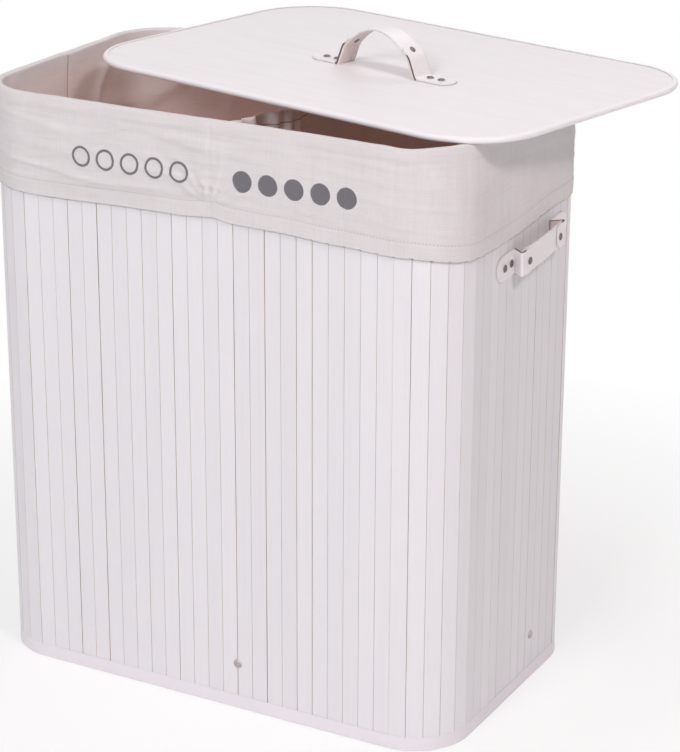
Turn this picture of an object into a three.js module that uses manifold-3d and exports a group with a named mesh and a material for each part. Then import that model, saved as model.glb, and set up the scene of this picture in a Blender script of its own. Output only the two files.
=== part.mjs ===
// A laundry hamper with two bins: a slatted wall mat, a cloth liner folded over its rim,
// a base board on clips, and a loose bound lid, with riveted strap handles.
// Millimetres, +Z up, the front faces -Y.

import * as THREE from 'three';
import { mergeVertices } from 'three/addons/utils/BufferGeometryUtils.js';
import Module from 'manifold-3d';

const wasm = await Module();
wasm.setup();

// Whole hamper, over the slats, up to the top of the folded cuff
const width = 520;
const depth = 312;
const rim_height = 603;
const corner_radius = 60;

// Between pieces that touch
const clearance = 0.3;
const cut_overrun = 1;

// Steps of curves
const corner_step = 12;
const lid_corner_step = 18;
const rivet_sides = 10;
const strap_end_sides = 8;
const arch_steps = 10;
const bend_steps = 3;

// Wall mat: slats side by side on a backing cloth
const slat_pitch = 17;
const slat_gap = 1;
const slat_thickness = 2;
const backing_thickness = 0.8;

// Tape folded over the mat's lower and upper edges
const tape_thickness = 0.7;
const tape_height = 14;

// Base board and the clips that carry it
const board_thickness = 6;
const board_margin = 3;
const clip_width = 20;
const clip_leg = 22;
const clip_shelf = 18;
const clip_thickness = 1.2;
const clip_rivet_drop = 11;
const clip_rivet_height = 48.6;
const front_clip_slats = 2;
const side_clip_offset = 46;

// Liner of cloth, whose cuff is folded over the rim
const cloth_thickness = 1.2;
const cuff_height = 98;
const cuff_return = 25;
const hem_height = 15;
const hem_thickness = 0.6;
const hem_sway = 13;
const rim_slack = 2;
const rim_bend = 2.4;
const cuff_bulge = 1;
const liner_room = 0.8;
const seam_offset = 11;
const seam_width = 9;
const cuff_step = 24;
const bag_fold = 2;
const bag_fold_length = 47;
const bag_step = 16;

// Divider between the bins
const divider_drop = 9;
const divider_sag = 14;
const divider_hem = 12;
const divider_hem_thickness = 0.8;
const divider_fold = 7;
const divider_folds = 2.5;
const divider_step = 17;

// Lid, lying askew on the rim
const lid_width = 530;
const lid_depth = 354;
const lid_radius = 78;
const lid_thickness = 6;
const lid_tape = 0.6;
const lid_tape_reach = 5;
const lid_shift_x = 64;
const lid_shift_y = 89;
const lid_turn_degrees = -12.6;

// Straps and rivets of the handles
const strap_width = 25;
const strap_thickness = 1.8;
const foot_length = 39;
const foot_rivet_near = 9.5;
const foot_rivet_far = 23.5;
const strap_overlap = 15;
const shank_radius = 1.9;
const head_radius = 3.8;
const head_height = 1.5;
const tail_radius = 3;
const tail_height = 0.8;
const clip_head_radius = 4.7;

// Handle on the lid: the grip's layer also lines its risers
const lid_handle = {
  span: 101, rise: 20, top: 44, lean: 7.5, foot_bend: 2, shoulder_bend: 4, rivet_reach: 7,
  lined_risers: true, offset_x: 10.6, offset_y: -15.5,
};

// Flatter handles on the sides, below the cuff, whose shoulders lean out over their feet
const side_handle = {
  rise: 13, top: 15, lean: -9, foot_bend: 4.2, shoulder_bend: 3, rivet_reach: 8,
  lined_risers: false, drop: 34, tilt_degrees: 4,
};

// Outermost rivets of a side handle, as shares of the flat side on each side of its middle
const side_rivet_shares = [-0.4635, 0.849];

// Share of a rounded head's radius and height, from its crown to its rim
const dome_shares = [[0, 1], [0.6, 0.8], [1, 0.25], [1, 0]];

// Sway of the cuff's lower edge, by the run round it from the middle of its front:
// share of the front's half width, share of the sway. It is drawn up at the seam and
// hangs lowest at the corner to the right.
const hem_line_shares = [
  [-3, 0], [-1.2, 0], [-0.7, -0.2], [-0.3, 0], [-0.1, 0.06], [0.055, 0.3], [0.12, 0.06], [0.3, 0],
  [0.55, -0.22], [0.82, -0.38], [1.1, -0.95], [1.25, -1], [1.4, -0.95], [1.75, -0.5], [2.3, -0.15], [3, 0],
];

// Sag of the rim between the places that the lid presses: the same two shares
const rim_line_shares = [[-1, 0.1], [-0.2, 0.35], [0.3, 0.1], [0.68, 0.6], [0.82, 1], [0.97, 0]];

// Levels of the cuff between hem and rim, and how far each bulges
const cuff_level_shares = [0.18, 0.42, 0.7];
const cuff_bulge_shares = [0.5, 1, 0.4];

// Levels of the divider between floor and hem, and how far its folds reach there
const divider_level_shares = [0.35, 0.62, 0.82];
const divider_fold_shares = [0, 0.25, 0.6, 0.9];

// Heights and depths that follow
const wall_thickness = slat_thickness + backing_thickness;
const tape_stack = tape_thickness + clearance;
const tape_top = rim_height - cloth_thickness - rim_slack - clearance;
const mat_bottom = tape_stack;
const mat_top = tape_top - tape_stack;
const clip_top = clip_rivet_height + clip_rivet_drop;
const board_bottom = clip_top + clearance;
const board_top = board_bottom + board_thickness;
const cuff_inside = tape_stack + clearance;
const liner_out = -(wall_thickness + tape_stack + liner_room);
const floor_bottom = board_top + clearance;
const floor_top = floor_bottom + cloth_thickness;
const return_bottom = rim_height - cuff_return;
const lid_bottom = rim_height + clearance;
const lid_round = lid_thickness / 2;
const lid_stack = lid_tape + clearance;
const lid_board_top = lid_thickness - lid_stack;
const lid_board_thickness = lid_board_top - lid_stack;

const materials = {
  slat: { color: 0xe9e5ec, roughness: 0.55, metalness: 0 },
  tape: { color: 0xe7e2e8, roughness: 0.7, metalness: 0 },
  cloth: { color: 0xded8d2, roughness: 0.95, metalness: 0 },
  board: { color: 0xe6e1e4, roughness: 0.7, metalness: 0 },
  lid: { color: 0xeceaee, roughness: 0.5, metalness: 0 },
  strap: { color: 0xece8ec, roughness: 0.45, metalness: 0 },
  rivet: { color: 0x6e6a6c, roughness: 0.4, metalness: 1 },
  clip: { color: 0x9a989a, roughness: 0.4, metalness: 1 },
};

const hamper = new THREE.Group();
const outline = roundedRectangle(width, depth, corner_radius, corner_step);
const lid_outline = roundedRectangle(lid_width, lid_depth, lid_radius, lid_corner_step);
const side_shape = sideHandleShape();
const lid_group = new THREE.Group();
const handle_frames = handleFrames();

buildWalls();
buildBase();
buildLiner();
buildLid();
buildHandle('lid_handle', lid_handle, lid_group, handle_frames.lid, lid_board_thickness);
buildHandle('right_handle', side_shape, hamper, handle_frames.right, wall_thickness);
buildHandle('left_handle', side_shape, hamper, handle_frames.left, wall_thickness);
centreOnFloor(hamper);

export default hamper;

// Meshes

function add(parent, name, geometry, look) {
  const mesh = new THREE.Mesh(geometry, new THREE.MeshStandardMaterial(materials[look]));
  mesh.name = name;
  parent.add(mesh);
  return mesh;
}

function centreOnFloor(group) {
  const box = new THREE.Box3().setFromObject(group, true);
  const centre = box.getCenter(new THREE.Vector3());
  group.position.set(-centre.x, -centre.y, -box.min.z);
}

// Solids

function solidOf(geometry) {
  const bare = geometry.clone();
  bare.deleteAttribute('normal');
  bare.deleteAttribute('uv');
  const merged = mergeVertices(bare);
  return new wasm.Manifold(new wasm.Mesh({
    numProp: 3,
    vertProperties: merged.attributes.position.array,
    triVerts: new Uint32Array(merged.index.array),
  }));
}

function geometryOf(solid) {
  const mesh = solid.getMesh();
  const geometry = new THREE.BufferGeometry();
  geometry.setAttribute('position', new THREE.BufferAttribute(mesh.vertProperties, mesh.numProp));
  geometry.setIndex(new THREE.BufferAttribute(mesh.triVerts, 1));
  geometry.computeVertexNormals();
  return geometry;
}

function cut(geometry, tools) {
  if (tools.length === 0) return geometry;
  return geometryOf(tools.reduce((solid, tool) => solid.subtract(solidOf(tool)), solidOf(geometry)));
}

function extruded(points, height, bottom = 0) {
  const shape = new THREE.Shape(points.map(([x, y]) => new THREE.Vector2(x, y)));
  const geometry = new THREE.ExtrudeGeometry(shape, { depth: height, bevelEnabled: false });
  geometry.translate(0, 0, bottom);
  return geometry;
}

// Skin through rings of points: closed into a loop, or capped at both ends
function skin(rings, section, closed) {
  const count = section.length;
  const last = closed ? rings.length : rings.length - 1;
  const faces = [];
  for (let i = 0; i < last; i++) {
    for (let j = 0; j < count; j++) {
      const [a, b] = [i * count + j, i * count + (j + 1) % count];
      const step = ((i + 1) % rings.length) * count;
      const [c, d] = [step + j, step + (j + 1) % count];
      faces.push(a, b, d, a, d, c);
    }
  }
  if (!closed) {
    const flat = section.map(([x, y]) => new THREE.Vector2(x, y));
    const turned = THREE.ShapeUtils.isClockWise(flat);
    for (const [a, b, c] of THREE.ShapeUtils.triangulateShape(flat, [])) {
      const [p, q] = turned ? [b, c] : [c, b];
      const end = last * count;
      faces.push(a, p, q, end + a, end + q, end + p);
    }
  }
  const geometry = new THREE.BufferGeometry();
  geometry.setAttribute('position', new THREE.Float32BufferAttribute(rings.flat(2), 3));
  geometry.setIndex(faces);
  return facingOut(geometry);
}

function facingOut(geometry) {
  const place = geometry.attributes.position;
  const [a, b, c] = [0, 1, 2].map(() => new THREE.Vector3());
  const index = geometry.index.array;
  let volume = 0;
  for (let i = 0; i < index.length; i += 3) {
    a.fromBufferAttribute(place, index[i]);
    b.fromBufferAttribute(place, index[i + 1]);
    c.fromBufferAttribute(place, index[i + 2]);
    volume += a.dot(b.cross(c));
  }
  if (volume < 0) geometry.index.array.reverse();
  geometry.computeVertexNormals();
  return geometry;
}

// Outlines, measured by the run round them from the middle of the front, counter-clockwise

function roundedRectangle(across, deep, radius, facet) {
  const [sx, sy] = [across / 2 - radius, deep / 2 - radius];
  const arc = radius * Math.PI / 2;
  const facets = Math.ceil(arc / facet);
  const parts = [
    { length: sx, from: [0, -deep / 2], along: [1, 0] },
    { length: arc, centre: [sx, -sy], start: -Math.PI / 2 },
    { length: 2 * sy, from: [across / 2, -sy], along: [0, 1] },
    { length: arc, centre: [sx, sy], start: 0 },
    { length: 2 * sx, from: [sx, deep / 2], along: [-1, 0] },
    { length: arc, centre: [-sx, sy], start: Math.PI / 2 },
    { length: 2 * sy, from: [-across / 2, sy], along: [0, -1] },
    { length: arc, centre: [-sx, -sy], start: Math.PI },
    { length: sx, from: [-sx, -deep / 2], along: [1, 0] },
  ];
  const total = parts.reduce((sum, part) => sum + part.length, 0);
  return { parts, total, radius, facets, quadrant: total / 4, flat_front: sx, flat_side: sy };
}

function pointOn(path, run, out) {
  let left = ((run % path.total) + path.total) % path.total;
  let index = 0;
  while (left > path.parts[index].length && index < path.parts.length - 1) {
    left -= path.parts[index].length;
    index += 1;
  }
  const part = path.parts[index];
  if (part.centre) {
    const facet = Math.min(path.facets - 1, Math.floor(left / part.length * path.facets));
    const [from, to] = [facet, facet + 1].map((corner) => {
      const turn = part.start + Math.PI / 2 * corner / path.facets;
      const reach = path.radius + out;
      return new THREE.Vector2(Math.cos(turn), Math.sin(turn)).multiplyScalar(reach);
    });
    const place = from.lerp(to, left / part.length * path.facets - facet);
    return [part.centre[0] + place.x, part.centre[1] + place.y];
  }
  const [ax, ay] = part.along;
  return [part.from[0] + ax * left + ay * out, part.from[1] + ay * left - ax * out];
}

// Runs from one place to another, with a stop at each facet of an arc and steps on the flats
function runs(path, from, to, flat_step = Infinity) {
  const stops = [from];
  let start = Math.floor(from / path.total) * path.total;
  while (start < to) {
    for (const part of path.parts) {
      const count = part.centre ? path.facets : Math.max(1, Math.ceil(part.length / flat_step));
      for (let i = 1; i <= count; i++) {
        const stop = start + part.length * i / count;
        if (stop > from + clearance && stop < to - clearance) stops.push(stop);
      }
      start += part.length;
    }
  }
  return [...stops, to];
}

// Stops all round, without the first again at the end
function stopsRound(path) {
  return runs(path, 0, path.total).slice(1);
}

function ringOn(path, out) {
  return stopsRound(path).map((run) => pointOn(path, run, out));
}

// Value between the shares of a table, at a place that is itself a share
function between(shares, place) {
  const next = shares.findIndex(([at]) => at > place);
  if (next === 0) return shares[0][1];
  if (next < 0) return shares[shares.length - 1][1];
  const [[x0, y0], [x1, y1]] = [shares[next - 1], shares[next]];
  return y0 + (y1 - y0) * THREE.MathUtils.smoothstep(place, x0, x1);
}

// Wall mat

function slatLayout() {
  const quadrant_slats = Math.round(outline.quadrant / slat_pitch);
  const pitch = outline.quadrant / quadrant_slats;
  const front_slats = Math.round(outline.flat_front / pitch);
  const side_slats = Math.round(outline.flat_side / pitch);
  return { pitch, quadrant_slats, front_slats, side_slats };
}

function slatPanel(first, last, pitch) {
  const [start, end] = [first * pitch + clearance / 2, last * pitch - clearance / 2];
  const outside = [];
  for (let slat = first; slat < last; slat++) {
    const [from, to] = [slat * pitch + slat_gap / 2, (slat + 1) * pitch - slat_gap / 2];
    outside.push(pointOn(outline, from, -slat_thickness));
    for (const run of runs(outline, from, to)) outside.push(pointOn(outline, run, 0));
    outside.push(pointOn(outline, to, -slat_thickness));
  }
  const inside = runs(outline, start, end).map((run) => pointOn(outline, run, -wall_thickness));
  const ends = [start, end].map((run) => pointOn(outline, run, -slat_thickness));
  const points = [ends[0], ...outside, ends[1], ...inside.reverse()];
  return extruded(points, mat_top - mat_bottom, mat_bottom);
}

function buildWalls() {
  const { pitch, quadrant_slats, front_slats, side_slats } = slatLayout();
  const side = quadrant_slats;
  const back = 2 * quadrant_slats;
  const left = 3 * quadrant_slats;
  const panels = {
    wall_front: [-front_slats, front_slats],
    corner_front_right: [front_slats, side - side_slats],
    wall_right: [side - side_slats, side + side_slats],
    corner_back_right: [side + side_slats, back - front_slats],
    wall_back: [back - front_slats, back + front_slats],
    corner_back_left: [back + front_slats, left - side_slats],
    wall_left: [left - side_slats, left + side_slats],
    corner_front_left: [left + side_slats, 4 * quadrant_slats - front_slats],
  };
  const holes = wallHoles();
  for (const [name, [first, last]] of Object.entries(panels)) {
    add(hamper, name, cut(slatPanel(first, last, pitch), holes[name] ?? []), 'slat');
  }
  add(hamper, 'bottom_binding', bindingTape(0, 1), 'tape');
  add(hamper, 'top_binding', bindingTape(tape_top, -1), 'tape');
}

// Tape folded round an edge of the mat, from its outermost face at a height, up or down
function bindingTape(edge, way) {
  const outer = tape_stack;
  const inner = -wall_thickness - tape_stack;
  const section = [
    [outer, 0], [outer, tape_height], [clearance, tape_height], [clearance, tape_thickness],
    [-wall_thickness - clearance, tape_thickness], [-wall_thickness - clearance, tape_height],
    [inner, tape_height], [inner, 0],
  ];
  const rings = stopsRound(outline).map((run) => (
    section.map(([out, rise]) => [...pointOn(outline, run, out), edge + way * rise])
  ));
  return skin(rings, section, true);
}

// Base

function clipPlaces() {
  const { pitch, quadrant_slats } = slatLayout();
  return {
    front: front_clip_slats * pitch,
    right: quadrant_slats * pitch + side_clip_offset,
    back: (2 * quadrant_slats + front_clip_slats) * pitch,
    left: 3 * quadrant_slats * pitch + side_clip_offset,
  };
}

// Frame of a clip: +X along the wall, +Y out of it, at the outer face of the slats
function clipFrame(run) {
  const [x, y] = pointOn(outline, run, 0);
  const [ox, oy] = pointOn(outline, run, 1);
  const out = new THREE.Vector3(ox - x, oy - y, 0);
  const up = new THREE.Vector3(0, 0, 1);
  const along = new THREE.Vector3().crossVectors(out, up);
  return new THREE.Matrix4().makeBasis(along, out, up).setPosition(x, y, clip_rivet_height);
}

function clipGeometry() {
  const face = -wall_thickness - clearance;
  const [foot, shelf] = [clip_rivet_drop - clip_leg, clip_rivet_drop];
  const back = face - clip_thickness;
  const tip = face - clip_shelf;
  const profile = [
    [face, foot], [face, shelf], [tip, shelf], [tip, shelf - clip_thickness],
    [back, shelf - clip_thickness], [back, foot],
  ];
  const geometry = extruded(profile, clip_width, -clip_width / 2);
  geometry.applyMatrix4(new THREE.Matrix4().makeBasis(
    new THREE.Vector3(0, 1, 0), new THREE.Vector3(0, 0, 1), new THREE.Vector3(1, 0, 0),
  ));
  return cut(geometry, [rivetHole(wall_thickness + clip_thickness)]);
}

function buildBase() {
  const margin = wall_thickness + board_margin;
  const ring = ringOn(outline, -margin);
  add(hamper, 'base_board', extruded(ring, board_thickness, board_bottom), 'board');
  const hold = wall_thickness + clearance + clip_thickness;
  for (const [side, run] of Object.entries(clipPlaces())) {
    const group = new THREE.Group();
    group.applyMatrix4(clipFrame(run));
    add(group, `clip_${side}`, clipGeometry(), 'clip');
    add(group, `clip_rivet_${side}`, rivet(clip_head_radius, hold), 'rivet');
    hamper.add(group);
  }
}

// Rivets: the origin is on the face under the head, the shank goes down -Y

function rivet(radius, hold) {
  const under = clearance;
  const tail = -hold - clearance;
  const head = dome_shares.map(([r, y]) => new THREE.Vector2(r * radius, under + y * head_height));
  const profile = [
    ...head,
    new THREE.Vector2(shank_radius, under), new THREE.Vector2(shank_radius, tail),
    new THREE.Vector2(tail_radius, tail), new THREE.Vector2(tail_radius, tail - tail_height),
    new THREE.Vector2(0, tail - tail_height),
  ];
  return new THREE.LatheGeometry(profile.reverse(), rivet_sides);
}

function rivetHole(hold) {
  const length = hold + 2 * cut_overrun;
  const bore = shank_radius + clearance;
  const hole = new THREE.CylinderGeometry(bore, bore, length, rivet_sides);
  hole.translate(0, cut_overrun - length / 2, 0);
  return hole;
}

function wallHoles() {
  const holes = { wall_front: [], wall_right: [], wall_back: [], wall_left: [] };
  for (const [side, run] of Object.entries(clipPlaces())) {
    holes[`wall_${side}`].push(rivetHole(wall_thickness).applyMatrix4(clipFrame(run)));
  }
  for (const side of ['right', 'left']) {
    for (const place of footRivets(side_shape)) {
      const hole = rivetHole(wall_thickness).translate(place, 0, 0);
      holes[`wall_${side}`].push(hole.applyMatrix4(handle_frames[side]));
    }
  }
  return holes;
}

// Liner

function buildLiner() {
  const front = seam_offset;
  const back = outline.total / 2 - seam_offset;
  const halves = { right: [front, back], left: [back, front + outline.total] };
  for (const [side, [from, to]] of Object.entries(halves)) {
    const [start, end] = [from + clearance / 2, to - clearance / 2];
    add(hamper, `liner_cuff_${side}`, cuffHalf(start, end), 'cloth');
    add(hamper, `liner_bag_${side}`, bagHalf(start, end), 'cloth');
  }
  add(hamper, 'liner_floor', extruded(ringOn(outline, liner_out), cloth_thickness, floor_bottom), 'cloth');
  add(hamper, 'liner_divider', divider(), 'cloth');
}

// Place along the front as a share of its half width, from the middle; beyond 1 off the front
function frontShare(run) {
  const back_half = run > outline.total / 2 ? run - outline.total : run;
  return back_half / (width / 2);
}

// How near a run is to the cuff's front seam, 1 on it
function nearSeam(run) {
  const away = Math.abs(frontShare(run) * width / 2 - seam_offset);
  return 1 - THREE.MathUtils.smoothstep(away, 0, seam_width);
}

// Section of the folded cuff: out from the slats and up, outer face first
function cuffSection(run) {
  const place = frontShare(run);
  const top = rim_height - rim_slack * between(rim_line_shares, place);
  const edge = rim_height - cuff_height + hem_sway * between(hem_line_shares, place);
  const outer = cuff_inside + cloth_thickness;
  const hem_top = edge + hem_height;
  const bulge = cuff_bulge * (1 - nearSeam(run));
  const bulges = cuff_level_shares.map((share, i) => [
    outer + bulge * cuff_bulge_shares[i],
    hem_top + (top - hem_top) * share,
  ]);
  const inner = liner_out - cloth_thickness;
  const under = top - cloth_thickness;
  return [
    [outer, edge], [outer + hem_thickness, edge + hem_thickness],
    [outer + hem_thickness, hem_top - hem_thickness], [outer, hem_top], ...bulges,
    [outer, top - rim_bend], [outer - rim_bend / 2, top - rim_bend / 4], [outer - rim_bend, top],
    [inner + rim_bend, top], [inner, top - rim_bend], [inner, return_bottom],
    [liner_out, return_bottom], [liner_out, under - clearance], [liner_out + clearance, under],
    [cuff_inside - clearance / 2, under], [cuff_inside, under - clearance / 2], [cuff_inside, edge],
  ];
}

function cuffHalf(from, to) {
  const stops = runs(outline, from, to, cuff_step);
  const rings = stops.map((run) => (
    cuffSection(run).map(([out, height]) => [...pointOn(outline, run, out), height])
  ));
  return skin(rings, cuffSection(from), false);
}

// Depth of the bag's soft upright folds, none at its ends and in the corners
function bagFold(run, from, to) {
  const ends = Math.min(1, (run - from) / bag_fold_length, (to - run) / bag_fold_length);
  return bag_fold * Math.max(0, ends) * Math.sin(Math.PI * (run - from) / bag_fold_length) ** 2;
}

function bagHalf(from, to) {
  const stops = runs(outline, from, to, bag_step);
  const line = (depthIn) => stops.map((run) => (
    pointOn(outline, run, liner_out - depthIn - bagFold(run, from, to))
  ));
  const points = [...line(0), ...line(cloth_thickness).reverse()];
  const bottom = floor_top + clearance;
  return extruded(points, return_bottom - clearance - bottom, bottom);
}

function dividerSection(share) {
  const swell = Math.sin(Math.PI * share);
  const top = rim_height - divider_drop - divider_sag * swell;
  const bottom = floor_top + clearance;
  const hem = top - divider_hem;
  const wave = divider_fold * swell * Math.sin(2 * Math.PI * divider_folds * share);
  const at = (level, fold_share) => [seam_offset + wave * fold_share, bottom + (hem - bottom) * level];
  const heights = [at(0, divider_fold_shares[0])];
  divider_level_shares.forEach((level, i) => heights.push(at(level, divider_fold_shares[i + 1])));
  heights.push([seam_offset + wave, hem]);
  const half = cloth_thickness / 2;
  const thick = half + divider_hem_thickness / 2;
  const left = heights.map(([x, z]) => [x - half, z]);
  const right = heights.map(([x, z]) => [x + half, z]).reverse();
  const crown = seam_offset + wave;
  const hem_fold = [
    [crown - thick, hem + half], [crown - thick, top], [crown + thick, top], [crown + thick, hem + half],
  ];
  return [...left, ...hem_fold, ...right];
}

function divider() {
  const reach = depth / 2 + liner_out - cloth_thickness - clearance;
  const count = Math.ceil(2 * reach / divider_step);
  const rings = [];
  for (let i = 0; i <= count; i++) {
    const y = reach * (2 * i / count - 1);
    rings.push(dividerSection(i / count).map(([x, z]) => [x, y, z]));
  }
  return skin(rings, dividerSection(0), false);
}

// Lid

// Tape folded round the lid's edge, which it rounds
function lidTape() {
  const inside_top = lid_thickness - lid_tape;
  const section = [
    [-lid_tape_reach, 0], [-lid_round, 0], [-lid_round / 4, lid_round / 2], [0, lid_round],
    [-lid_round / 4, lid_thickness - lid_round / 2], [-lid_round, lid_thickness],
    [-lid_tape_reach, lid_thickness], [-lid_tape_reach, inside_top], [-lid_round, inside_top],
    [-lid_round, lid_tape], [-lid_tape_reach, lid_tape],
  ];
  const rings = stopsRound(lid_outline).map((run) => (
    section.map(([out, height]) => [...pointOn(lid_outline, run, out), height])
  ));
  return skin(rings, section, true);
}

function buildLid() {
  lid_group.position.set(lid_shift_x, lid_shift_y, lid_bottom);
  lid_group.rotation.z = THREE.MathUtils.degToRad(lid_turn_degrees);
  const ring = ringOn(lid_outline, -lid_round - clearance);
  const holes = footRivets(lid_handle).map((place) => (
    rivetHole(lid_board_thickness).translate(place, 0, 0).applyMatrix4(handle_frames.lid)
  ));
  add(lid_group, 'lid_board', cut(extruded(ring, lid_board_thickness, lid_stack), holes), 'lid');
  add(lid_group, 'lid_binding', lidTape(), 'lid');
  hamper.add(lid_group);
}

// Handles: +X along the strap, +Y out of the surface, +Z across the strap

function sideHandleShape() {
  const [first, last] = side_rivet_shares.map((share) => outline.flat_side * share);
  const height = rim_height - cuff_height - side_handle.drop;
  return { ...side_handle, height, offset: (first + last) / 2, span: last - first - 2 * foot_rivet_far };
}

function handleFrames() {
  const [ex, ey, ez] = [[1, 0, 0], [0, 1, 0], [0, 0, 1]].map((v) => new THREE.Vector3(...v));
  const frame = (along, out, x, y, z) => new THREE.Matrix4()
    .makeBasis(along, out, new THREE.Vector3().crossVectors(along, out))
    .setPosition(x, y, z);
  const { offset, height, tilt_degrees } = side_shape;
  const tilt = new THREE.Matrix4().makeRotationY(THREE.MathUtils.degToRad(tilt_degrees));
  return {
    lid: frame(ex, ez, lid_handle.offset_x, lid_handle.offset_y, lid_board_top),
    right: frame(ey, ex, width / 2, offset, height).multiply(tilt),
    left: frame(ey, ex.clone().negate(), -width / 2, offset, height),
  };
}

function footRivets({ span }) {
  const near = span / 2 + foot_rivet_near;
  const far = span / 2 + foot_rivet_far;
  return [-far, -near, near, far];
}

// Middle line of the outer layer: foot, riser and the arch to the far foot
function strapLine({ span, rise, top, lean, foot_bend, shoulder_bend }) {
  const low = clearance + strap_thickness / 2;
  const half = span / 2;
  const shoulder = half - lean;
  const points = [[-half - foot_length, low], [-half, low]];
  for (let i = 0; i <= arch_steps; i++) {
    const share = 2 * i / arch_steps - 1;
    points.push([shoulder * share, rise + (top - rise) * (1 - share * share)]);
  }
  points.push([half, low], [half + foot_length, low]);
  const radii = points.map(() => 0);
  radii[1] = radii[points.length - 2] = foot_bend;
  radii[2] = radii[points.length - 3] = shoulder_bend;
  return rounded(points.map((p) => new THREE.Vector2(...p)), radii);
}

// Line with each corner of a given radius replaced by a curve
function rounded(points, radii) {
  const line = [];
  points.forEach((point, i) => {
    if (radii[i] === 0) {
      line.push(point);
      return;
    }
    const toward = (other) => point.clone().lerp(other, Math.min(0.5, radii[i] / point.distanceTo(other)));
    const bend = new THREE.QuadraticBezierCurve(toward(points[i - 1]), point, toward(points[i + 1]));
    line.push(...bend.getPoints(bend_steps));
  });
  return line;
}

function beside(line, distance) {
  return line.map((point, i) => {
    const before = line[Math.max(0, i - 1)];
    const after = line[Math.min(line.length - 1, i + 1)];
    const way = after.clone().sub(before).normalize();
    return new THREE.Vector2(point.x - way.y * distance, point.y + way.x * distance);
  });
}

// Part of a line between two distances along it
function stretch(line, from, to) {
  const part = [];
  let run = 0;
  for (let i = 1; i < line.length; i++) {
    const length = line[i].distanceTo(line[i - 1]);
    const at = (distance) => line[i - 1].clone().lerp(line[i], (distance - run) / length);
    if (run <= from && from < run + length) part.push(at(from));
    if (run + length > from && run + length < to) part.push(line[i]);
    if (run < to && to <= run + length) part.push(at(to));
    run += length;
  }
  return part;
}

function lineLength(line) {
  return line.slice(1).reduce((sum, point, i) => sum + point.distanceTo(line[i]), 0);
}

function strap(line) {
  const half = strap_thickness / 2;
  const edge = [...beside(line, half), ...beside(line, -half).reverse()];
  return extruded(edge.map(({ x, y }) => [x, y]), strap_width, -strap_width / 2);
}

// Stadium over a strap's foot, which rounds its free end
function footEnd(span, top) {
  const radius = strap_width / 2;
  const tip = -span / 2 - foot_length + radius;
  const points = [[span / 2, -radius]];
  points.push([span / 2, radius]);
  for (let i = 0; i <= strap_end_sides; i++) {
    const turn = Math.PI * (0.5 + i / strap_end_sides);
    points.push([tip + radius * Math.cos(turn), radius * Math.sin(turn)]);
  }
  const block = extruded(points, top + 2 * cut_overrun, -top - cut_overrun);
  return block.rotateX(Math.PI / 2);
}

function buildHandle(name, shape, parent, frame, carrier) {
  const group = new THREE.Group();
  group.applyMatrix4(frame);
  parent.add(group);
  const line = strapLine(shape);
  const layer = strap_thickness + clearance;
  const riser = Math.hypot(shape.rise, shape.lean);
  const foot_run = foot_length + riser + strap_overlap;
  const foot_line = stretch(line, 0, foot_run);
  const grip_start = foot_length + (shape.lined_risers ? shape.foot_bend / 2 : riser + shape.shoulder_bend);
  const grip_line = beside(stretch(line, grip_start, lineLength(line) - grip_start), -layer);

  const shoulder_run = foot_length + riser + shape.rivet_reach;
  const [place, next] = stretch(line, shoulder_run, shoulder_run + strap_thickness);
  const slope = Math.atan2(next.y - place.y, next.x - place.x);
  const shoulder = new THREE.Matrix4().makeRotationZ(slope);
  const lift = new THREE.Vector2(-Math.sin(slope), Math.cos(slope)).multiplyScalar(strap_thickness / 2);
  shoulder.setPosition(place.x + lift.x, place.y + lift.y, 0);
  const mirror = new THREE.Matrix4().makeRotationY(Math.PI);
  const shoulders = { near: shoulder, far: mirror.clone().multiply(shoulder) };

  const foot_top = clearance + strap_thickness;
  const holes = footRivets(shape).map((along) => rivetHole(foot_top).translate(along, foot_top, 0));
  const shoulder_holes = Object.values(shoulders).map((matrix) => (
    rivetHole(layer + strap_thickness).applyMatrix4(matrix)
  ));
  const near_foot = solidOf(strap(foot_line)).intersect(solidOf(footEnd(shape.span, shape.top)));
  const foot = cut(geometryOf(near_foot), [...holes.slice(0, 2), shoulder_holes[0]]);
  add(group, `${name}_foot_near`, foot, 'strap');
  add(group, `${name}_foot_far`, foot.clone().applyMatrix4(mirror), 'strap');
  add(group, `${name}_grip`, cut(strap(grip_line), shoulder_holes), 'strap');

  footRivets(shape).forEach((along, i) => {
    const foot_rivet = rivet(head_radius, foot_top + carrier).translate(along, foot_top, 0);
    add(group, `${name}_foot_rivet_${i + 1}`, foot_rivet, 'rivet');
  });
  for (const [end, matrix] of Object.entries(shoulders)) {
    const shoulder_rivet = rivet(head_radius, layer + strap_thickness).applyMatrix4(matrix);
    add(group, `${name}_shoulder_rivet_${end}`, shoulder_rivet, 'rivet');
  }
}
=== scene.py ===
"""A slatted laundry hamper with two bins, its cloth liner, loose lid and strap handles."""
import copy
import math

import bmesh
import bpy
from bpy.props import FloatProperty, FloatVectorProperty, IntProperty, PointerProperty
from mathutils import Matrix, Vector, noise


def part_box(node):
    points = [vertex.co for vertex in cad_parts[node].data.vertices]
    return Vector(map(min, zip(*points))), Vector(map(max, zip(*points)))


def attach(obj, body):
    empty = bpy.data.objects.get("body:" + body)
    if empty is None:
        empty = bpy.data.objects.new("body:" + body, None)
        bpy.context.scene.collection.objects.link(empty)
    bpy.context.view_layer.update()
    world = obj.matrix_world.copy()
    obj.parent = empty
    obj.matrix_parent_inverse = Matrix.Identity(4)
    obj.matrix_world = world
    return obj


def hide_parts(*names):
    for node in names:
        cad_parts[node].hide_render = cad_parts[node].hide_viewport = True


bl_info = {
    "name": "Two-bin laundry hamper",
    "version": (1, 0, 0),
    "blender": (4, 5, 0),
    "location": "View3D > Sidebar > Hamper",
    "description": "Builds a slatted laundry hamper with a divided cloth liner and a loose lid",
    "category": "Add Mesh",
}

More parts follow.
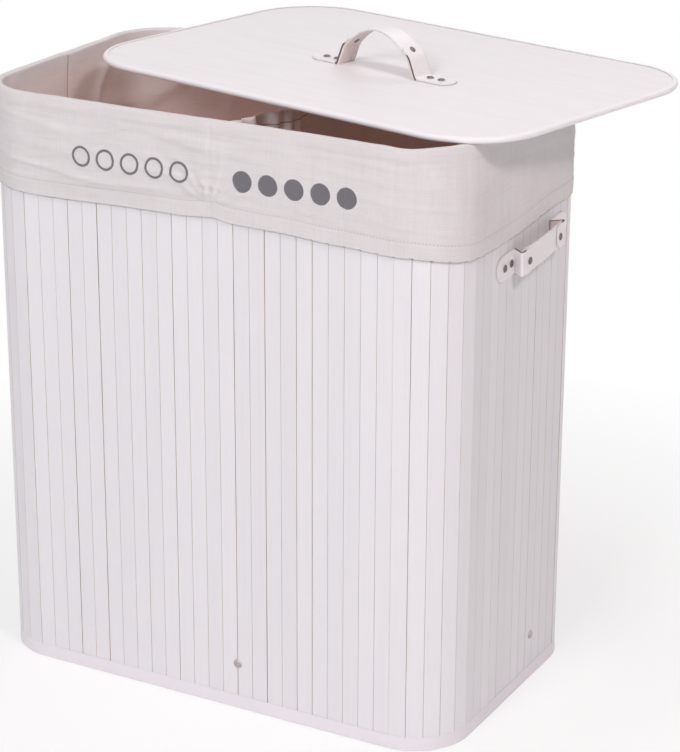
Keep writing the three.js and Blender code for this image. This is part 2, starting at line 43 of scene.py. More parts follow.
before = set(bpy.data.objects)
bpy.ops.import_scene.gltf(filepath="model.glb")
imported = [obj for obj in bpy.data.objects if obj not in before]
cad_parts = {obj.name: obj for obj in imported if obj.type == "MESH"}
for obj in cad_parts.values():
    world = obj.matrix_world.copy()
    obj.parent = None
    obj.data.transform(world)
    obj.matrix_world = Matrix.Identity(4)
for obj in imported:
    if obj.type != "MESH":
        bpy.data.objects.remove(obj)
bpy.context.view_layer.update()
# The way that each wall faces
WALLS = {"front": (0, -1, 0), "right": (1, 0, 0), "back": (0, 1, 0), "left": (-1, 0, 0)}


def node_low(node):
    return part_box(node)[0]


def node_high(node):
    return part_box(node)[1]


def node_middle(node):
    low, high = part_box(node)
    return (low + high) / 2


FLOOR_Z = node_low("bottom_binding").z
MIDDLE = node_middle("bottom_binding")
MAT_WIDTH = node_high("wall_right").x - node_low("wall_left").x
MAT_DEPTH = node_high("wall_back").y - node_low("wall_front").y
MAT_BOTTOM = node_low("wall_front").z
MAT_TOP = node_high("wall_front").z
TAPE_OUT = node_high("bottom_binding").x - node_high("wall_right").x
RIM = node_high("liner_cuff_left").z
CUFF_BOTTOM = node_low("liner_cuff_right").z
CUFF_OUT = node_high("liner_cuff_right").x - node_high("wall_right").x
LINER_OUT = node_high("liner_floor").x - node_high("wall_right").x
LINER_FLOOR = node_high("liner_floor").z
SEAM_X = node_high("liner_cuff_left").x - MIDDLE.x


def colour(red, green, blue):
    """A colour given as the 0 to 255 numbers of a screen, as linear light."""
    def linear(level):
        share = level / 255
        return share / 12.92 if share <= 0.04045 else ((share + 0.055) / 1.055) ** 2.4
    return tuple(linear(level) for level in (red, green, blue))


def length_property(name, description, default):
    return FloatProperty(
        name=name, description=description, default=default, min=0.0, unit="LENGTH", precision=4)


def colour_property(name, description, default):
    return FloatVectorProperty(
        name=name, description=description, default=colour(*default), size=3, min=0.0, max=1.0,
        subtype="COLOR")


class HamperMat(bpy.types.PropertyGroup):
    corner_radius: length_property("Corner radius", "Radius of the mat's corners, on the slats' faces", 0.060)
    slats: IntProperty(name="Slats", description="Slats all round the mat", default=92, min=8)
    slat_thickness: length_property("Slat thickness", "Thickness of a slat in front of the glue", 0.0009)
    backing: length_property("Backing", "Thickness of the glue and the cloth behind the slats", 0.0019)
    gap: length_property("Gap", "Least gap between two slats", 0.00018)
    gap_spread: length_property("Gap spread", "How much wider the widest gaps are", 0.0006)
    edge: length_property("Edge", "Rounding of a slat's long edges", 0.00028)
    tape_height: length_property("Tape height", "Height of the tape round the mat's edge", 0.014)


class HamperLiner(bpy.types.PropertyGroup):
    cloth: length_property("Cloth", "Thickness of the cloth", 0.0011)
    return_depth: length_property("Return", "How far the cuff's cloth goes down inside the rim", 0.080)
    warm_shade_depth: length_property("Warm depth", "How far down inside the cloth's warm tone is full", 0.150)
    # Painted shade: how far down inside the bins the painted warm shade, and with it the painted glow, reach
    # their full strength
    hem: length_property("Hem", "Height of the cuff's hem", 0.0155)
    hem_sway: length_property("Hem sway", "How far the cuff's lower edge sways round the mat", 0.013)
    rim_bend: length_property("Rim bend", "Radius of the cloth's bend over the rim", 0.0024)
    rim_sag: length_property("Rim sag", "How far the rim's cloth sags between the lid's rests", 0.0017)
    bulge: length_property("Bulge", "How far the cuff stands off the mat between its edges", 0.0008)
    pucker: length_property("Pucker", "Height of the wrinkles that gather at the seam", 0.0017)
    wrinkle: length_property("Wrinkle", "Height of the cloth's soft wrinkles", 0.0032)
    stitch: length_property("Stitch", "Half the width of the hem's line of stitches", 0.0004)
    slat_print: length_property("Slat print", "How far the slats show through the cuff", 0.0005)
    mark: length_property("Mark", "Width of one embroidered mark", 0.021)
    mark_pitch: length_property("Mark pitch", "Distance between embroidered marks", 0.0275)
    thread: length_property("Thread", "Width of the embroidery's line", 0.0026)


class HamperLid(bpy.types.PropertyGroup):
    width: length_property("Width", "Length of the lid's long side", 0.530)
    depth: length_property("Depth", "Length of the lid's short side", 0.354)
    radius: length_property("Radius", "Radius of the lid's corners", 0.078)
    turn: FloatProperty(
        name="Turn", description="How the lid lies turned on the rim", default=math.radians(-12.6),
        subtype="ANGLE")
    tape: length_property("Tape", "Thickness of the tape round the lid's edge", 0.0006)
    tape_reach: length_property("Tape reach", "How far the tape reaches over the lid's face", 0.005)


class HamperStraps(bpy.types.PropertyGroup):
    width: length_property("Width", "Width of a strap", 0.025)
    thickness: length_property("Thickness", "Thickness of a strap", 0.0018)
    foot: length_property("Foot", "Length of a strap's foot", 0.039)
    overlap: length_property("Overlap", "How far a foot strap laps the grip past the shoulder", 0.015)
    cut: length_property("Cut edge", "Width of the cut edge that shows beside a strap's face", 0.0004)
    outer_rivet: length_property("Outer rivet", "Distance of a foot's outer rivet from its riser", 0.0235)
    rivet_radius: length_property("Rivet radius", "Radius of a strap rivet's head", 0.0038)
    clip_rivet_radius: length_property("Clip rivet radius", "Radius of a clip rivet's head", 0.0047)


class HamperColours(bpy.types.PropertyGroup):
    paint: colour_property("Paint", "Paint of the slats", (234, 232, 237))
    raw_wood: colour_property("Raw wood", "Bare wood at the slats' edges", (222, 208, 196))
    tape: colour_property("Tape", "Tape round the mat's edges", (236, 231, 238))
    cloth: colour_property("Cloth", "Cloth of the cuff and of the bins near it", (234, 230, 232))
    # Painted shade: the inside colour is a warmer, darker tone that stands in for the shade deep in the bins;
    # the cloth itself has the cuff's colour
    inside: colour_property("Inside", "Cloth of the bins, deep inside", (232, 212, 202))
    lid: colour_property("Lid", "Paint of the lid", (240, 237, 240))
    lid_tape: colour_property("Lid tape", "Tape round the lid's edge", (242, 239, 243))
    strap: colour_property("Strap", "Coated face of the straps", (238, 234, 237))
    strap_edge: colour_property("Strap edge", "Raw edge of the straps", (104, 82, 76))
    strap_back: colour_property("Strap back", "Uncoated back of the straps", (228, 212, 209))
    rivet: colour_property("Rivet", "Metal of the straps' rivets", (124, 116, 118))
    clip_rivet: colour_property("Clip rivet", "Metal of the rivets low on the walls", (196, 186, 186))
    clip: colour_property("Clip", "Metal of the base's clips", (170, 168, 168))
    thread: colour_property("Thread", "Embroidery thread", (132, 128, 136))


GROUPS = {
    "hamper_mat": HamperMat,
    "hamper_liner": HamperLiner,
    "hamper_lid": HamperLid,
    "hamper_straps": HamperStraps,
    "hamper_colours": HamperColours,
}


class Outline:
    """A rounded rectangle, measured by the run round it from the middle of its front."""

    def __init__(self, width, depth, radius, middle, turn=0.0):
        self.flat_x, self.flat_y, self.radius = width / 2 - radius, depth / 2 - radius, radius
        self.arc = radius * math.pi / 2
        self.quadrant = self.flat_x + self.arc + self.flat_y
        self.total = 4 * self.quadrant
        self.middle, self.turn = middle, turn

    def at(self, run, out):
        """The place a run round the outline and a distance out of it."""
        run = run % self.total
        side, left = divmod(run, 2 * self.quadrant)
        mirrored = left > self.quadrant
        if mirrored:
            left = 2 * self.quadrant - left
        if left < self.flat_x:
            x, y = left, -self.flat_y - self.radius - out
        elif left < self.flat_x + self.arc:
            angle = (left - self.flat_x) / self.radius
            reach = self.radius + out
            x, y = self.flat_x + reach * math.sin(angle), -self.flat_y - reach * math.cos(angle)
        else:
            x, y = self.flat_x + self.radius + out, left - self.flat_x - self.arc - self.flat_y
        if mirrored:
            y = -y
        if side:
            x, y = -x, -y
        cos, sin = math.cos(self.turn), math.sin(self.turn)
        return Vector((self.middle.x + x * cos - y * sin, self.middle.y + x * sin + y * cos, 0.0))

    def front_place(self, run):
        """The same run, counted to the left of the front's middle as less than nothing."""
        return (run + self.total / 2) % self.total - self.total / 2

    def facing(self, run):
        """The way that the outline faces at a run."""
        return (self.at(run, 1.0) - self.at(run, 0.0)).normalized()


def mat_outline(context):
    return Outline(MAT_WIDTH, MAT_DEPTH, context.scene.hamper_mat.corner_radius, MIDDLE)


def lid_outline(context):
    lid = context.scene.hamper_lid
    return Outline(lid.width, lid.depth, lid.radius, node_middle("lid_binding"), lid.turn)


def eased(share):
    share = min(1.0, max(0.0, share))
    return share * share * (3 - 2 * share)


def between(points, place):
    """Smooth value at a place between points of (place, value)."""
    if place <= points[0][0]:
        return points[0][1]
    for (x0, y0), (x1, y1) in zip(points, points[1:]):
        if place <= x1:
            return y0 + (y1 - y0) * eased((place - x0) / (x1 - x0))
    return points[-1][1]


def soft(x, y, z):
    return noise.noise(Vector((x, y, z)))


def crest(sharpness, x, y, z):
    """Ridges where the soft noise passes through nothing: 1 along them and 0 between them."""
    return max(0.0, 1 - sharpness * abs(soft(x, y, z)))


def bell(distance, width):
    """How near a distance is to nothing: 1 there, and almost 0 from two widths on."""
    return math.exp(-(distance / width) ** 2)


def drawn_edge(past, width, layers, drawn):
    """Height of cloth whose extra layers end at a line, where a row of stitches draws it in."""
    return layers * (1 - eased(past / width * 0.5 + 0.5)) - drawn * bell(past, width)


def add_object(name, data):
    added = bpy.data.objects.new(name, data)
    bpy.context.scene.collection.objects.link(added)
    return added


# Meshes

def new_piece(name, bm, materials, body, replaced):
    """Makes a piece of a mesh in these materials, which rides a body and replaces solids."""
    mesh = bpy.data.meshes.new(name)
    bm.to_mesh(mesh)
    bm.free()
    for polygon in mesh.polygons:
        polygon.use_smooth = True
    for material in materials:
        mesh.materials.append(material)
    piece = add_object(name, mesh)
    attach(piece, body)
    if replaced:
        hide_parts(*replaced)
    return piece


def sharpen(piece, degrees=40):
    """Marks the edges sharper than an angle, so that flat faces shade flat beside round ones."""
    piece.data.set_sharp_from_angle(angle=math.radians(degrees))


def grid_shares(bm, columns, rows):
    """A new grid's vertices, each with its shares u and v of the way along and down the grid."""
    grid = bmesh.ops.create_grid(bm, x_segments=columns, y_segments=rows, size=0.5)
    return [(vertex, vertex.co.x + 0.5, vertex.co.y + 0.5) for vertex in grid["verts"]]


def close_up(bm):
    """Joins the vertices that meet, and turns the faces one way."""
    bmesh.ops.remove_doubles(bm, verts=bm.verts, dist=1e-6)
    bmesh.ops.recalc_face_normals(bm, faces=bm.faces)


def swept_ring(outline, section, columns):
    """Mesh of a closed section of (out, height) swept round an outline."""
    bm = bmesh.new()
    count = len(section)
    for vertex, u, v in grid_shares(bm, columns, count):
        out, height = section[round(v * count) % count]
        spot = outline.at(u * outline.total, out)
        vertex.co = (spot.x, spot.y, height)
    close_up(bm)
    return bm


def corner_curve(before, corner, after, radius, steps, most):
    """Points of a curve in place of a corner, which takes up a share of its two sides at most."""
    start = corner.lerp(before, min(most, radius / (before - corner).length))
    end = corner.lerp(after, min(most, radius / (after - corner).length))
    shares = [step / steps for step in range(steps + 1)]
    return [start.lerp(corner, share).lerp(corner.lerp(end, share), share) for share in shares]


def rounded_section(corners, radius):
    """Corners of a closed section, each replaced by a short curve."""
    corners = [Vector(corner) for corner in corners]
    points = []
    for index, corner in enumerate(corners):
        after = corners[(index + 1) % len(corners)]
        points += corner_curve(corners[index - 1], corner, after, radius, steps=3, most=0.45)
    return [(point.x, point.y) for point in points]


# Materials

class Shader:
    """A material's node tree, with short ways to add and join its nodes."""

    def __init__(self, name):
        self.material = bpy.data.materials.new(name)
        self.material.use_nodes = True
        self.tree = self.material.node_tree
        self.surface = self.tree.nodes["Principled BSDF"]

    def node(self, kind, **values):
        node = self.tree.nodes.new(kind)
        for key, value in values.items():
            if key in node.inputs:
                node.inputs[key].default_value = value
            else:
                setattr(node, key, value)
        return node

    def feed(self, socket, value):
        """Sets a socket to a number or a colour, or joins an output to it."""
        if isinstance(value, (int, float)):
            socket.default_value = value
        elif isinstance(value, tuple):
            socket.default_value = (*value[:3], 1.0)
        else:
            self.tree.links.new(value, socket)

    def mapped(self, vector, **values):
        """A vector turned by its Rotation, or stretched by its Scale."""
        node = self.node("ShaderNodeMapping", **values)
        self.feed(node.inputs["Vector"], vector)
        return node.outputs["Vector"]

    def coordinates(self, stretch=(1, 1, 1), turn=(0, 0, 0)):
        """Object coordinates turned first and then stretched."""
        place = self.node("ShaderNodeTexCoord").outputs["Object"]
        return self.mapped(self.mapped(place, Rotation=turn), Scale=stretch)

    def attribute(self, name):
        return self.node("ShaderNodeAttribute", attribute_name=name).outputs["Fac"]

    def measure(self, name):
        """A piece's own map, laid on it in metres or threads."""
        return self.node("ShaderNodeUVMap", uv_map=name).outputs["UV"]

    def noise_on(self, vector, scale, detail, roughness):
        node = self.node("ShaderNodeTexNoise", Scale=scale, Detail=detail, Roughness=roughness)
        self.feed(node.inputs["Vector"], vector)
        return node.outputs["Fac"]

    def noise(self, scale, detail, stretch=(1, 1, 1), turn=(0, 0, 0)):
        """Noise that lies on object coordinates, turned and stretched."""
        return self.noise_on(self.coordinates(stretch, turn), scale, detail, 0.55)

    def wave(self, vector, scale, distortion=0.0, direction="X"):
        node = self.node("ShaderNodeTexWave", Scale=scale, Distortion=distortion, bands_direction=direction)
        self.feed(node.inputs["Vector"], vector)
        return node.outputs["Fac"]

    def range(self, value, low, high, to_low, to_high):
        """A value from low to high, moved to lie from to_low to to_high."""
        node = self.node("ShaderNodeMapRange")
        keys = ("Value", "From Min", "From Max", "To Min", "To Max")
        for key, given in zip(keys, (value, low, high, to_low, to_high)):
            self.feed(node.inputs[key], given)
        return node.outputs["Result"]

    def maths(self, operation, first, second):
        node = self.node("ShaderNodeMath", operation=operation)
        self.feed(node.inputs[0], first)
        self.feed(node.inputs[1], second)
        return node.outputs["Value"]

    def mix(self, share, first, second, blend="MIX"):
        node = self.node("ShaderNodeMix", data_type="RGBA", blend_type=blend)
        # Inputs 6 and 7 and output 2 are the node's colours
        for index, value in ((0, share), (6, first), (7, second)):
            self.feed(node.inputs[index], value)
        return node.outputs[2]

    def stain(self, base, value, low, high, share, tint):
        """A base with a tint over it, up to a share, where a value goes from low to high."""
        return self.mix(self.range(value, low, high, 0, share), base, tint)

    def bump(self, height, depth, strength=1.0):
        """Adds a bump to those that the surface has."""
        node = self.node("ShaderNodeBump", Strength=strength, Distance=depth)
        normal = self.surface.inputs["Normal"]
        self.feed(node.inputs["Height"], height)
        if normal.is_linked:
            self.feed(node.inputs["Normal"], normal.links[0].from_socket)
        self.feed(normal, node.outputs["Normal"])

    def set(self, **values):
        """Sets the surface and gives its material."""
        for key, value in values.items():
            self.feed(self.surface.inputs[key.replace("_", " ")], value)
        return self.material


def shaded(tint, factor):
    return tuple(level * factor for level in tint)


def painted_slat(tint):
    """Thin paint over fine upright grain, each slat in its own slight tone."""
    shader = Shader("painted_slat")
    grain, streak = shader.noise(900, 3.0, (1, 1, 0.012)), shader.noise(260, 2.0, (1, 1, 0.004))
    base = shader.stain(tint, grain, 0.35, 0.7, 0.22, shaded(tint, 0.9))
    base = shader.stain(base, streak, 0.55, 0.8, 0.18, shaded(tint, 0.88))
    toned = shader.node("ShaderNodeVectorMath", operation="SCALE")
    shader.feed(toned.inputs[0], base)
    shader.feed(toned.inputs["Scale"], shader.range(shader.attribute("slat_tone"), 0, 1, 0.968, 1.012))
    shader.bump(grain, 0.00025, 0.35)
    rough = shader.range(grain, 0.3, 0.7, 0.5, 0.62)
    return shader.set(Base_Color=toned.outputs[0], Roughness=rough, Specular_IOR_Level=0.35)


def bare_wood(tint):
    """Bare wood of the slats' sides, seen in the gaps."""
    shader = Shader("bare_wood")
    grain, dark = shader.noise(700, 4.0, (1, 1, 0.03)), shader.noise(18, 3.0, (1, 1, 0.5))
    base = shader.stain(tint, grain, 0.3, 0.7, 0.5, shaded(tint, 0.6))
    base = shader.stain(base, dark, 0.45, 0.65, 0.6, shaded(tint, 0.42))
    return shader.set(Base_Color=base, Roughness=0.8)


def coated_tape(name, tint):
    """Coated edging tape with a faint weave under its coat."""
    shader = Shader(name)
    base = shader.stain(tint, shader.noise(14, 3.0), 0.4, 0.75, 0.3, shaded(tint, 0.93))
    shader.bump(shader.noise(1600, 2.0), 0.0002, 0.3)
    return shader.set(Base_Color=base, Roughness=0.55, Specular_IOR_Level=0.4)


def linen(name, tint, deep, stitch, painted_glow):
    """Plain woven cotton and linen with slubs, and with stitches along its hem.

    Down in the bins it has a warmer, darker painted shade, and a painted glow, most on the left, stands in for
    light that reaches in there.
    Over its weave it has soft folds, deepest on the left too.
    """
    shader = Shader(name)
    run = shader.measure("cloth")

    def threads(stretch, detail=4.0):
        return shader.noise_on(shader.mapped(run, Scale=stretch), 1.0, detail, 0.6)

    sunk = shader.attribute("sunk")
    # Painted shade: the deeper in the bins, the more the cloth takes the warmer, darker deep colour
    base = shader.mix(shader.maths("POWER", sunk, 2.0), tint, deep)
    dark = shader.mix(1.0, base, (0.82, 0.80, 0.80), "MULTIPLY")
    slub, warp = threads((22, 620, 1)), threads((620, 22, 1))
    base = shader.stain(base, slub, 0.5, 0.72, 0.42, dark)
    base = shader.stain(base, warp, 0.52, 0.75, 0.34, dark)
    base = shader.stain(base, shader.noise(26, 4.0), 0.35, 0.7, 0.25, dark)

    # The hem's line is stitched outside, and inside the side seam's line is painted darker, as painted shade
    # along its groove
    beside_line = shader.maths("ABSOLUTE", shader.attribute("over_hem"), 0.0)
    inside = shader.range(sunk, 0.0, 0.02, 0, 1)
    stitches = shader.range(shader.wave(run, 95.0), 0.25, 0.45, 0, 1)
    drawn = shader.maths("MAXIMUM", stitches, inside)
    line = shader.maths("MULTIPLY", shader.range(beside_line, stitch, stitch * 2, 1, 0), drawn)
    base = shader.mix(line, base, dark)
    # Painted shade along the inside seam's groove
    painted_seam_shade = shader.mix(1.0, dark, (0.5, 0.47, 0.46), "MULTIPLY")
    base = shader.mix(shader.maths("MULTIPLY", line, inside), base, painted_seam_shade)

    weave = shader.maths("MULTIPLY", shader.wave(run, 480.0, 1.2, "X"), shader.wave(run, 480.0, 1.2, "Y"))
    height = shader.maths("ADD", weave, shader.maths("ADD", slub, warp))
    shader.bump(shader.maths("ADD", height, shader.maths("MULTIPLY", line, 1.5)), 0.0004, 0.5)
    place = shader.node("ShaderNodeSeparateXYZ")
    shader.feed(place.inputs[0], shader.coordinates())
    loose = shader.range(place.outputs["X"], MIDDLE.x + 0.05, MIDDLE.x + 0.15, 0.0018, 0.0003)
    shader.bump(shader.maths("MULTIPLY", threads((10, 44, 1), 1.0), loose), 1.0)
    # Painted glow: an emission, strongest deep in the bins and on the left, stands in for light reaching in;
    # it is no lamp
    to_left = shader.range(place.outputs["X"], MIDDLE.x - 0.26, MIDDLE.x + 0.1, 1.7, 0.7)
    through = shader.maths("MULTIPLY", shader.range(sunk, 0.0, 0.15, 0.0, painted_glow), to_left)
    return shader.set(
        Base_Color=base, Roughness=0.92, Sheen_Weight=0.15, Sheen_Roughness=0.6, Specular_IOR_Level=0.2,
        Emission_Color=colour(228, 170, 148), Emission_Strength=through)


def painted_lid(tint, turn):
    """Painted fine slats that run along the lid."""
    shader = Shader("painted_lid")
    turn = (0, 0, -turn)
    grain, streak = shader.noise(900, 4.0, (0.02, 1, 1), turn), shader.noise(190, 3.0, (0.06, 1, 1), turn)
    lines = shader.wave(shader.coordinates((0, 1, 0), turn), 46.0, 0.0, "Y")
    base = shader.stain(tint, grain, 0.4, 0.75, 0.35, shaded(tint, 0.9))
    base = shader.stain(base, streak, 0.5, 0.8, 0.45, shaded(tint, 0.88))
    base = shader.stain(base, shader.noise(24, 3.0, (0.3, 1, 1), turn), 0.5, 0.8, 0.3, shaded(tint, 0.93))
    base = shader.mix(shader.range(lines, 0.0, 0.03, 0.3, 0), base, shaded(tint, 0.82))
    shader.bump(shader.maths("ADD", grain, streak), 0.0003, 0.35)
    rough = shader.range(grain, 0.3, 0.7, 0.42, 0.55)
    return shader.set(Base_Color=base, Roughness=rough, Specular_IOR_Level=0.4)


def coated_strap(tint):
    """Smooth coated leather with a fine pebble."""
    shader = Shader("coated_strap")
    cells = shader.node("ShaderNodeTexVoronoi", Scale=1500.0)
    shader.feed(cells.inputs["Vector"], shader.coordinates())
    base = shader.stain(tint, shader.noise(160, 4.0), 0.55, 0.8, 0.35, shaded(tint, 0.86))
    shader.bump(cells.outputs["Distance"], 0.0002, 0.3)
    return shader.set(Base_Color=base, Roughness=0.38, Specular_IOR_Level=0.5)


def raw_strap_edge(tint, painted):
    """Cut edge of a strap: painted over rough fibres, which show brown where it is rubbed."""
    shader = Shader("raw_strap_edge")
    fibre, patch = shader.noise(1400, 5.0), shader.noise(300, 3.0)
    raw = shader.stain(shaded(tint, 0.6), fibre, 0.35, 0.65, 1, shaded(tint, 1.6))
    worn = shader.maths("ADD", shader.attribute("rubbed"), shader.range(patch, 0.45, 0.75, 0.0, 0.5))
    base = shader.mix(shader.range(worn, 0.3, 1.0, 0.12, 1), painted, raw)
    shader.bump(fibre, 0.0003, 0.6)
    return shader.set(Base_Color=base, Roughness=0.85)


def strap_underside(tint):
    """Uncoated back of a strap: short fibres pressed flat."""
    shader = Shader("strap_underside")
    fibre = shader.noise(1100, 5.0)
    base = shader.stain(shaded(tint, 0.82), fibre, 0.3, 0.7, 1, shaded(tint, 1.1))
    base = shader.stain(base, shader.noise(90, 3.0), 0.4, 0.7, 0.3, shaded(tint, 0.8))
    shader.bump(fibre, 0.0003, 0.5)
    return shader.set(Base_Color=base, Roughness=0.9, Sheen_Weight=0.2, Sheen_Roughness=0.5)


def dull_metal(name, tint, roughness):
    """Plain metal, dulled unevenly by wear."""
    shader = Shader(name)
    wear = shader.noise(420, 4.0)
    base = shader.stain(shaded(tint, 0.75), wear, 0.4, 0.7, 1, shaded(tint, 1.15))
    shader.bump(wear, 0.0001, 0.3)
    rough = shader.range(wear, 0.3, 0.7, roughness - 0.08, roughness + 0.12)
    return shader.set(Base_Color=base, Metallic=0.85, Roughness=rough)


def embroidery(tint):
    """Satin stitches, whose threads follow the mark's own length, in light and dark bands of painted highlight
    and shade.
    """
    shader = Shader("embroidery")
    stitch = shader.wave(shader.measure("stitch"), 0.5, 0.6)
    # Painted highlight and shade: lighter and darker bands that follow the threads
    base = shader.stain(shaded(tint, 0.5), stitch, 0.2, 0.8, 1, shaded(tint, 1.3))
    shader.bump(stitch, 0.0004, 0.8)
    return shader.set(Base_Color=base, Roughness=0.6, Sheen_Weight=0.2, Sheen_Roughness=0.4)


MATERIALS = {}


def finishes(context):
    """The hamper's finishes, made once from its colours."""
    if not MATERIALS:
        scene = context.scene
        tint = {key: tuple(getattr(scene.hamper_colours, key)) for key in HamperColours.__annotations__}
        stitch = scene.hamper_liner.stitch
        MATERIALS.update(
            slat=painted_slat(tint["paint"]),
            raw_wood=bare_wood(tint["raw_wood"]),
            tape=coated_tape("mat_tape", tint["tape"]),
            cloth=linen("liner_linen", tint["cloth"], tint["inside"], stitch, 0.05),
            # The bags' outside: the same cloth with no painted shade and no painted glow
            cloth_outside=linen("liner_linen_outside", tint["cloth"], tint["cloth"], stitch, 0.0),
            lid=painted_lid(tint["lid"], scene.hamper_lid.turn),
            lid_tape=coated_tape("lid_tape", tint["lid_tape"]),
            strap=coated_strap(tint["strap"]),
            strap_edge=raw_strap_edge(tint["strap_edge"], tint["strap"]),
            strap_back=strap_underside(tint["strap_back"]),
            rivet=dull_metal("rivet_metal", tint["rivet"], 0.42),
            clip_rivet=dull_metal("clip_rivet_metal", tint["clip_rivet"], 0.5),
            clip=dull_metal("clip_metal", tint["clip"], 0.35),
            thread=embroidery(tint["thread"]),
        )
    return MATERIALS


def dress_node(node, material):
    """Gives a solid that stays visible its finish."""
    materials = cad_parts[node].data.materials
    materials.clear()
    materials.append(material)


# Wall mat

def slat_panels(outline, slats):
    """Name of each wall panel with its first slat and the slat after its last."""
    pitch = outline.total / slats
    quarter = slats // 4
    front, side = round(outline.flat_x / pitch), round(outline.flat_y / pitch)
    return {
        "wall_front": (-front, front),
        "corner_front_right": (front, quarter - side),
        "wall_right": (quarter - side, quarter + side),
        "corner_back_right": (quarter + side, 2 * quarter - front),
        "wall_back": (2 * quarter - front, 2 * quarter + front),
        "corner_back_left": (2 * quarter + front, 3 * quarter - side),
        "wall_left": (3 * quarter - side, 3 * quarter + side),
        "corner_front_left": (3 * quarter + side, 4 * quarter - front),
    }


def gap_after(slat, mat):
    """Width of the gap between a slat and the next: most are narrow and a few are wide."""
    luck = soft(7.3 * (slat % mat.slats) + 0.4, 2.1, 0.7)
    return mat.gap + mat.gap_spread * max(0.0, luck - 0.05) * 2


def slat_panel(outline, mat, first, last):
    """The cloth behind some slats, and the slats: laid out flat, rounded and set against the outline."""
    bm = bmesh.new()
    tone = bm.verts.layers.float.new("slat_tone")
    pitch = outline.total / mat.slats
    height, level = MAT_TOP - MAT_BOTTOM, (MAT_TOP + MAT_BOTTOM) / 2
    length = (last - first) * pitch - 0.0002
    place = Matrix.Translation(((first + last) / 2 * pitch, -mat.slat_thickness - mat.backing / 2, level))
    bmesh.ops.create_cube(bm, size=1.0, matrix=place @ Matrix.Diagonal((length, mat.backing, height, 1.0)))
    along = [edge for edge in bm.edges if abs(edge.verts[0].co.x - edge.verts[1].co.x) > length / 2]
    bmesh.ops.subdivide_edges(bm, edges=along, cuts=4 * (last - first) - 1, use_grid_fill=True)
    for vertex in bm.verts:
        spot = outline.at(vertex.co.x, vertex.co.y)
        vertex.co = (spot.x, spot.y, vertex.co.z)
    backing = set(bm.verts)
    for face in bm.faces:
        face.material_index = 1
    for slat in range(first, last):
        left = slat * pitch + gap_after(slat - 1, mat) / 2
        right = (slat + 1) * pitch - gap_after(slat, mat) / 2
        place = Matrix.Translation(((left + right) / 2, -mat.slat_thickness / 2, level))
        size = Matrix.Diagonal((right - left, mat.slat_thickness, height, 1.0))
        bmesh.ops.create_cube(bm, size=1.0, matrix=place @ size)
    front_edges = [
        edge for edge in bm.edges
        if edge.verts[0] not in backing and abs(edge.verts[0].co.z - edge.verts[1].co.z) > height / 2
        and edge.verts[0].co.y > -mat.slat_thickness / 2
    ]
    bmesh.ops.bevel(
        bm, geom=front_edges, offset=mat.edge, affect="EDGES", segments=2, profile=0.5, material=-1)
    slats = [vertex for vertex in bm.verts if vertex not in backing]
    for face in {face for vertex in slats for face in vertex.link_faces}:
        face.material_index = 1 if abs(face.normal.x) > 0.9 else 0
    for vertex in slats:
        slat = math.floor(vertex.co.x / pitch)
        middle = (slat + 0.5) * pitch
        out = outline.facing(middle)
        seat = outline.at(middle, vertex.co.y + 0.00015 * soft(3.7 * slat, 0.2, 5.1))
        spot = seat + Vector((-out.y, out.x, 0.0)) * (vertex.co.x - middle)
        vertex.co = (spot.x, spot.y, vertex.co.z)
        vertex[tone] = 0.5 + 0.9 * soft(5.9 * (slat % mat.slats), 9.2, 1.3)
    bmesh.ops.recalc_face_normals(bm, faces=bm.faces)
    return bm


class HAMPER_OT_slat_mat(bpy.types.Operator):
    """Make the painted slats of the wall mat, panel by panel"""
    bl_idname = "hamper.slat_mat"
    bl_label = "Slat mat"

    def execute(self, context):
        mat, look = context.scene.hamper_mat, finishes(context)
        outline = mat_outline(context)
        for node, (first, last) in slat_panels(outline, mat.slats).items():
            bm = slat_panel(outline, mat, first, last)
            materials = [look["slat"], look["raw_wood"]]
            sharpen(new_piece(f"{node}_slats", bm, materials, "frame", [node]), degrees=20)
        return {"FINISHED"}


class HAMPER_OT_mat_tape(bpy.types.Operator):
    """Make the tape folded round the mat's lower and upper edges"""
    bl_idname = "hamper.mat_tape"
    bl_label = "Mat tape"

    def execute(self, context):
        mat, look = context.scene.hamper_mat, finishes(context)
        thick = mat.slat_thickness + mat.backing
        outer, slack, tall = TAPE_OUT, TAPE_OUT * 0.3, mat.tape_height
        corners = [
            (outer, 0.0), (outer * 0.45, tall), (slack, tall), (slack, outer * 0.7),
            (-thick - slack, outer * 0.7), (-thick - slack, tall),
            (-thick - outer, tall), (-thick - outer, 0.0),
        ]
        edges = {"bottom_binding": (FLOOR_Z, 1), "top_binding": (node_high("top_binding").z, -1)}
        for node, (edge, way) in edges.items():
            section = [(out, edge + way * rise) for out, rise in rounded_section(corners, radius=0.0007)]
            bm = swept_ring(mat_outline(context), section, columns=400)
            piece = new_piece(f"{node}_tape", bm, [look["tape"]], "frame", [node])
            sharpen(piece)
        return {"FINISHED"}


class HAMPER_OT_base(bpy.types.Operator):
    """Finish the base board and its clips"""
    bl_idname = "hamper.base"
    bl_label = "Base board and clips"

    def execute(self, context):
        look = finishes(context)
        dress_node("base_board", look["lid"])
        for wall in WALLS:
            dress_node(f"clip_{wall}", look["clip"])
        return {"FINISHED"}


# Liner

# The hem's sway and the rim's sag, at shares of the front's half width from its middle
HEM_LINE = (
    (-3.0, 0.0), (-1.2, 0.0), (-0.7, -0.2), (-0.3, 0.0), (-0.1, 0.06), (0.055, 0.3), (0.12, 0.06),
    (0.3, 0.0), (0.55, -0.22), (0.82, -0.38), (1.1, -0.95), (1.25, -1.0), (1.4, -0.95), (1.75, -0.5),
    (2.3, -0.15), (3.0, 0.0),
)
RIM_LINE = ((-1.0, 0.1), (-0.2, 0.35), (0.3, 0.1), (0.68, 0.6), (0.82, 1.0), (0.97, 0.0))
MARK_PLACES, MARK_HEIGHT = (-0.0775, 0.1010), 0.5485
# How far the bags' cloth laps behind the cuff's, and the room for folds under the cuff solid's face
BAG_LAP, FOLD_ROOM = 0.006, 0.0016
# How far under the rim the mat's upper tape lifts the cuff
BAND_DEPTH = 0.0125


